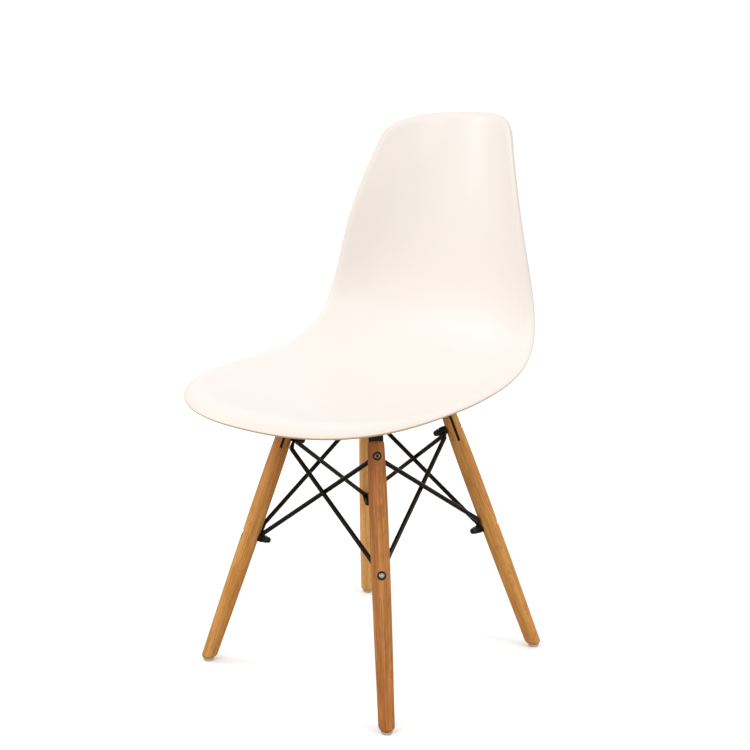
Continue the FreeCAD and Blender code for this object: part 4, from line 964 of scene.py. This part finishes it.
def wood_finish(name, ground, cloud, band, fibre):
    """Clear lacquered beech on the leg's own coordinates: slow reddish clouds, blotches,
    long bands, streaks and fibres along the leg, short dark flecks, and pores that dent the
    lacquer. The leg's marks say where its bolt recesses get a painted shade, a deep brown, and
    where it is stained red."""
    material, make, shader = new_material(name, {"Specular IOR Level": 0.22, "Coat Roughness": 0.3})
    where = layer_of(make, "grain_place")
    shade_and_stain = make.add("SeparateXYZ", None, Vector=layer_of(make, "leg_shade_and_stain"))

    def stretched(across, along, detail, roughness, distortion=0.0):
        place = make.add("Mapping", None, Vector=where, Scale=(across, across, along)).outputs[0]
        return make.noise(place, 1.0, detail, roughness, distortion)

    clouds = stretched(28.0, 8.0, 3.0, 0.6, 0.4)
    blotches = stretched(95.0, 42.0, 2.0, 0.6, 0.8)
    bands = stretched(150.0, 5.0, 3.0, 0.55, 1.2)
    streaks = stretched(400.0, 9.0, 2.0, 0.6)
    fibres = stretched(1100.0, 22.0, 3.0, 0.7)
    flecks = stretched(900.0, 170.0, 1.0, 0.5)
    pores = stretched(2200.0, 120.0, 2.0, 0.6)
    ground, cloud, band, fibre = (tone + (1.0,) for tone in (ground, cloud, band, fibre))
    colour = make.blend(make.spread(clouds, 0.38, 0.62), ground, cloud)
    colour = make.blend(make.spread(blotches, 0.50, 0.64, 0.0, 0.55), colour, band)
    colour = make.blend(make.spread(bands, 0.47, 0.60, 0.0, 0.75), colour, band)
    colour = make.blend(make.spread(streaks, 0.52, 0.64, 0.0, 0.6), colour, band)
    colour = make.blend(make.spread(fibres, 0.40, 0.70, 0.0, 0.6), colour, fibre)
    colour = make.blend(shade_and_stain.outputs["Y"], colour, STAIN, "MULTIPLY")
    fleck = make.spread(flecks, 0.66, 0.74, 0.0, 0.65)
    colour = make.blend(fleck, colour, FLECK)
    # Painted shade in the bolt recesses.
    shaded_recess = make.math("MULTIPLY", shade_and_stain.outputs["X"], RECESS_PAINTED_SHADE_SHARE)
    colour = make.blend(shaded_recess, colour, RECESS_PAINTED_SHADE)
    make.feed(shader, "Base Color", colour)
    make.feed(shader, "Roughness", make.spread(fibres, 0.3, 0.7, 0.42, 0.55))
    make.feed(shader, "Coat Weight", make.spread(clouds, 0.3, 0.7, 0.02, 0.10))
    risen = make.math("MULTIPLY", fibres, FIBRE_RISE)
    height = make.math("ADD", make.math("MULTIPLY", pores, PORE_RISE), risen)
    height = make.math("SUBTRACT", height, make.math("MULTIPLY", fleck, FLECK_DEPTH))
    dented(make, shader, height, LACQUER_BUMP)
    return material


# Each plain finish: dark and light colour, span of roughness, scale of the clouds, scale and
# depth of the grain, and the shader's other values.
METAL = {"Metallic": 1.0}
# The tan that the shell's lip turns to, its own tone and partly painted shade, and the colour of the
# roll's painted shade.
LIP_TAN_AND_SHADE = (0.47, 0.34, 0.21)
SHELL_PLASTIC = plain_finish(
    "moulded_shell", (0.766, 0.711, 0.668), (0.780, 0.724, 0.683),
    (0.40, 0.50), 9.0, 1300.0, 0.000010, {"Specular IOR Level": 0.45}, ("lip_tan_and_painted_shade", LIP_TAN_AND_SHADE))
# Ground, clouds, bands and fibres. The near leg is redder than the others. The far one is
# paler: partly its own tone, and partly painted light, as if lit from behind the chair.
GOLDEN_BEECH = (
    (0.615, 0.300, 0.075), (0.510, 0.205, 0.040), (0.390, 0.145, 0.029), (0.680, 0.370, 0.110))
RED_BEECH = (
    (0.510, 0.225, 0.055), (0.395, 0.128, 0.022), (0.260, 0.075, 0.012), (0.550, 0.265, 0.078))
PALE_AND_LIT_BEECH = (
    (0.860, 0.480, 0.158), (0.745, 0.370, 0.105), (0.610, 0.275, 0.072), (0.900, 0.550, 0.215))
BEECH = {
    "front_left": wood_finish("beech_reddish", *RED_BEECH),
    "rear_left": wood_finish("beech_golden", *GOLDEN_BEECH),
    # The far leg's paler beech is partly painted light.
    "rear_right": wood_finish("beech_pale_and_lit", *PALE_AND_LIT_BEECH)}
BEECH["front_right"] = BEECH["rear_left"]
BLACK_STEEL = plain_finish(
    "black_powder_coat", (0.006, 0.005, 0.005), (0.013, 0.011, 0.009),
    (0.34, 0.48), 45.0, 1700.0, 0.000030, {"Specular IOR Level": 0.20})
BLACK_NUT = plain_finish(
    "blackened_nut", (0.004, 0.004, 0.004), (0.010, 0.009, 0.008),
    (0.18, 0.32), 90.0, 2000.0, 0.000012, {"Specular IOR Level": 0.24})
BLACK_WIRE = plain_finish(
    "black_coated_wire", (0.003, 0.003, 0.002), (0.007, 0.006, 0.004),
    (0.09, 0.15), 60.0, 1500.0, 0.000014,
    {"Specular IOR Level": 0.20, "Specular Tint": (1.0, 0.84, 0.68, 1.0)})
BRONZED = plain_finish(
    "bronzed_bolt", (0.120, 0.098, 0.072), (0.230, 0.195, 0.150),
    (0.22, 0.38), 160.0, 2600.0, 0.000012, METAL)
DARK_ZINC = plain_finish(
    "dark_zinc_bolt", (0.180, 0.165, 0.145), (0.300, 0.280, 0.250),
    (0.22, 0.38), 160.0, 2600.0, 0.000012, METAL)
# A brighter, smoother metal in the lower bolts' sockets: a painted highlight.
SOCKET_PAINTED_HIGHLIGHT = plain_finish(
    "socket_painted_highlight", (0.240, 0.230, 0.210), (0.400, 0.385, 0.360),
    (0.14, 0.28), 500.0, 2600.0, 0.000020, METAL)
ZINC = plain_finish(
    "zinc_plated", (0.520, 0.520, 0.530), (0.680, 0.680, 0.670),
    (0.28, 0.44), 120.0, 2200.0, 0.000012, METAL)
BRASS = plain_finish(
    "turned_brass", (0.640, 0.450, 0.190), (0.800, 0.600, 0.300),
    (0.26, 0.40), 120.0, 2200.0, 0.000010, METAL)
RUBBER = plain_finish(
    "black_rubber", (0.020, 0.020, 0.021), (0.040, 0.040, 0.041),
    (0.65, 0.80), 60.0, 1400.0, 0.000030)
GLIDE_PLASTIC = plain_finish(
    "grey_glide", (0.400, 0.380, 0.340), (0.520, 0.500, 0.455),
    (0.42, 0.55), 60.0, 1500.0, 0.000020)


# Pieces

def build_shell():
    """The shell and the four bosses under it."""
    points, faces, tone = shell_mesh()
    points = fit_to_box(points, *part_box("seat_shell"))
    # The shell's tone layer: painted shade on the roll, and on the lip its tan, partly painted shade.
    make_piece("moulded_shell", points, faces, SHELL_PLASTIC, "shell_plastic", ("seat_shell",),
               sharp=60.0, layers={"lip_tan_and_painted_shade": tone})
    bosses = Shape()
    for corner in CORNERS:
        bosses.add(*boss_mesh(corner))
    bosses.make("shell_bosses", SHELL_PLASTIC, "shell_plastic", sharp=50.0)


# Each leg reads the wood's pattern at another place.
GRAIN_SHIFT = np.array((300.0, 170.0, 90.0))
# How red each leg's foot and top are, and the shares of the leg where the foot's tone ends
# and the top's begins.
STAINS = {
    "front_left": (0.85, 1.0), "rear_left": (0.0, 0.1),
    "rear_right": (0.0, 0.4), "front_right": (0.0, 1.0)}
FOOT_TONE_END, TOP_TONE_START = 0.3, 0.6


def build_base():
    """Legs, arms, glides and the hub."""
    for index, corner in enumerate(CORNERS):
        points, faces, recess_shade = leg_mesh(corner)
        grain = points + GRAIN_SHIFT * index
        share = points[:, 2] / LEG_TOP[end_of(corner)]
        foot_stain, top_stain = STAINS[corner]
        stain = foot_stain * (1 - eased(share, 0.0, FOOT_TONE_END))
        stain = stain + top_stain * eased(share, TOP_TONE_START, 1.0)
        # The leg's marks: painted shade in the bolt recesses, and the red stain.
        shade_and_stain_marks = np.stack((recess_shade, stain, 0 * stain), axis=-1)
        points = put(points, leg_placement(corner))
        make_piece("turned_leg_" + corner, points, faces, BEECH[corner], "beech", ("leg_" + corner,),
                   sharp=32.0, layers={"grain_place": grain * MM, "leg_shade_and_stain": shade_and_stain_marks})
        points, faces = arm_mesh(corner)
        make_piece("bent_arm_" + corner, points, faces, BLACK_STEEL, "black_steel",
                   ("frame_arm_" + corner,))
        end = end_of(corner)
        foot = FOOT_RADIUS[end] - GLIDE_HEIGHT * math.tan(TILT[end])
        copies("foot_glide_" + corner, GLIDE, [upright_placement(corner, foot, 0)], GLIDE_PLASTIC,
               "glide_plastic", ("glide_" + corner,))
    hub_place = placement(BASE_CENTRE + Z_AXIS * FRAME_TOP, X_AXIS, Z_AXIS)
    copies("welded_hub", HUB, [hub_place], BLACK_STEEL, "black_steel", ("frame_hub",), segments=72)


def build_rods():
    """Two crossed wires on each side, the second one layer further in."""
    for index, corner in enumerate(CORNERS):
        neighbour = CORNERS[(index + 1) % 4]
        rods = ((corner, neighbour, 0, OUTER_RUN), (neighbour, corner, 1, INNER_RUN))
        for upper, lower, layer, run in rods:
            points, faces = rod_mesh(upper, lower, layer, run)
            make_piece("wire_%s_to_%s" % (upper, lower), points, faces, BLACK_WIRE, "black_wire",
                       ("brace_%s_to_%s" % (upper, lower),), sharp=45.0)


def build_fasteners():
    """Bolts, washers, nuts and spacers, and the finishes of the two nodes shown as they are."""

    def leg_places(level, distance, inward):
        return [leg_stack(corner, level, distance, inward) for corner in CORNERS]

    def seat_places(height):
        return [upright_placement(corner, SEAT_BOLT_RADIUS, height) for corner in CORNERS]

    over_eyes = WASHER_SEAT + WASHER + 2 * EYE_THICKNESS
    # Each bolt's socket has a material of its own: black in the upper bolts as painted shade, and a
    # brighter metal in the lower bolts as a painted highlight.
    for level, metal, socket in (("upper", BRONZED, BLACK_NUT), ("lower", DARK_ZINC, SOCKET_PAINTED_HIGHLIGHT)):
        copies("button_bolts_" + level, BUTTON_HEAD, leg_places(level, HEAD_SEAT, False), metal,
               "bronzed_steel", ("leg_bolts_" + level,), socket=socket)
        copies("thin_washers_" + level, WASHER_RINGS, leg_places(level, -WASHER_SEAT, True),
               BLACK_STEEL, "black_steel", ("wood_washers_" + level,))
        copies("outer_washers_" + level, WASHER_RINGS, leg_places(level, -over_eyes, True),
               BLACK_STEEL, "black_steel", ("nut_washers_" + level,))
        copies("domed_nuts_" + level, CAP_NUT, leg_places(level, -over_eyes - WASHER, True),
               BLACK_NUT, "black_steel", ("cap_nuts_" + level,))

    under = FRAME_TOP - STRIP_THICKNESS - WASHER
    copies("hexagon_bolts", SEAT_BOLT, seat_places(under), ZINC, "zinc_steel", ("seat_bolts",))
    copies("plain_washers", WASHER_RINGS, seat_places(under), ZINC, "zinc_steel",
           ("seat_bolt_washers",))
    copies("soft_spacers", SPACER_RINGS, seat_places(FRAME_TOP), RUBBER, "spacer_rubber",
           ("seat_spacers",))
    for node, material in (("shell_inserts", BRASS), ("glide_nails", ZINC)):
        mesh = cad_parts[node].data
        mesh.materials.clear()
        mesh.materials.append(material)


build_shell()
build_base()
build_rods()
build_fasteners()

# Floor, light and camera: the camera's values were fitted to the photograph

FLOOR_HALF = 60.0
floor_mesh = bpy.data.meshes.new("studio_floor")
floor_mesh.from_pydata([(-FLOOR_HALF, -FLOOR_HALF, 0), (FLOOR_HALF, -FLOOR_HALF, 0),
                        (FLOOR_HALF, FLOOR_HALF, 0), (-FLOOR_HALF, FLOOR_HALF, 0)], [], [(0, 1, 2, 3)])
floor = bpy.data.objects.new("studio_floor", floor_mesh)
bpy.context.scene.collection.objects.link(floor)

FLOOR_SEEN = (1.0, 1.0, 1.0, 1.0)
FLOOR_BOUNCE = (0.44, 0.41, 0.37, 1.0)


def floor_finish():
    """Plain matt floor: white to look at, and darker for the light that it throws back, so
    that the chair's undersides keep their shade."""
    material = bpy.data.materials.new("pale_floor")
    material.use_nodes = True
    make = Maker(material.node_tree)
    make.tree.nodes.remove(make.tree.nodes["Principled BSDF"])
    seen = make.add("LightPath").outputs["Is Camera Ray"]
    matt = make.add("BsdfDiffuse", None, Color=make.blend(seen, FLOOR_BOUNCE, FLOOR_SEEN))
    make.feed(make.tree.nodes["Material Output"], "Surface", matt.outputs["BSDF"])
    return material


floor_mesh.materials.append(floor_finish())

SOFTBOX = 0.9
SOFTBOX_DISTANCE = 3.2
LIT_POINT = Vector((0.0, 0.0, 0.5))


def add_softbox(name, aside, rise, power):
    """A square lamp at the softboxes' distance from the lit point, turned aside from the
    chair's front and raised, both in radians."""
    data = bpy.data.lights.new(name, "AREA")
    data.size = SOFTBOX
    data.energy = power
    light = bpy.data.objects.new(name, data)
    level = math.cos(rise)
    away = Vector((level * math.sin(aside), -level * math.cos(aside), math.sin(rise)))
    light.location = LIT_POINT + away * SOFTBOX_DISTANCE
    light.rotation_euler = (-away).to_track_quat("-Z", "Y").to_euler()
    bpy.context.scene.collection.objects.link(light)


# Name, turn from the chair's front, height angle and power.
SOFTBOXES = (("left_softbox", -60.0, 28.0, 24.0), ("front_softbox", 3.0, 26.0, 18.0),
             ("right_softbox", 100.0, 28.0, 22.0), ("low_fill", 40.0, 12.0, 7.0))
for name, turn, rise, power in SOFTBOXES:
    add_softbox(name, math.radians(turn), math.radians(rise), power)

world = bpy.data.worlds.new("white_room")
world.use_nodes = True
world.node_tree.nodes["Background"].inputs["Color"].default_value = (1.0, 1.0, 1.0, 1.0)
bpy.context.scene.world = world
bpy.context.scene.view_settings.view_transform = "Standard"

CAMERA_AZIMUTH = math.radians(41.0515)
CAMERA_ELEVATION = math.radians(12.7835)
CAMERA_ROLL = math.radians(-0.4135)
CAMERA_DISTANCE = 1.93071
CAMERA_TARGET = Vector((0.00427, 0.01452, 0.44312))
FOCAL_PIXELS = 1306.37
PHOTO_PIXELS = 750
SENSOR = 36.0

back = Vector((math.sin(CAMERA_AZIMUTH) * math.cos(CAMERA_ELEVATION),
               -math.cos(CAMERA_AZIMUTH) * math.cos(CAMERA_ELEVATION), math.sin(CAMERA_ELEVATION)))
right = Vector((math.cos(CAMERA_AZIMUTH), math.sin(CAMERA_AZIMUTH), 0.0))
up = back.cross(right)
rolled_right = right * math.cos(CAMERA_ROLL) + up * math.sin(CAMERA_ROLL)
rolled_up = up * math.cos(CAMERA_ROLL) - right * math.sin(CAMERA_ROLL)
camera_data = bpy.data.cameras.new("photo_camera")
camera_data.sensor_width = SENSOR
camera_data.lens = FOCAL_PIXELS / PHOTO_PIXELS * SENSOR
camera_data.clip_start, camera_data.clip_end = 0.05, 50.0
camera = bpy.data.objects.new("photo_camera", camera_data)
turned = Matrix((rolled_right, rolled_up, back)).transposed()
camera.matrix_world = Matrix.Translation(CAMERA_TARGET + back * CAMERA_DISTANCE) @ turned.to_4x4()
bpy.context.scene.collection.objects.link(camera)
bpy.context.scene.camera = camera
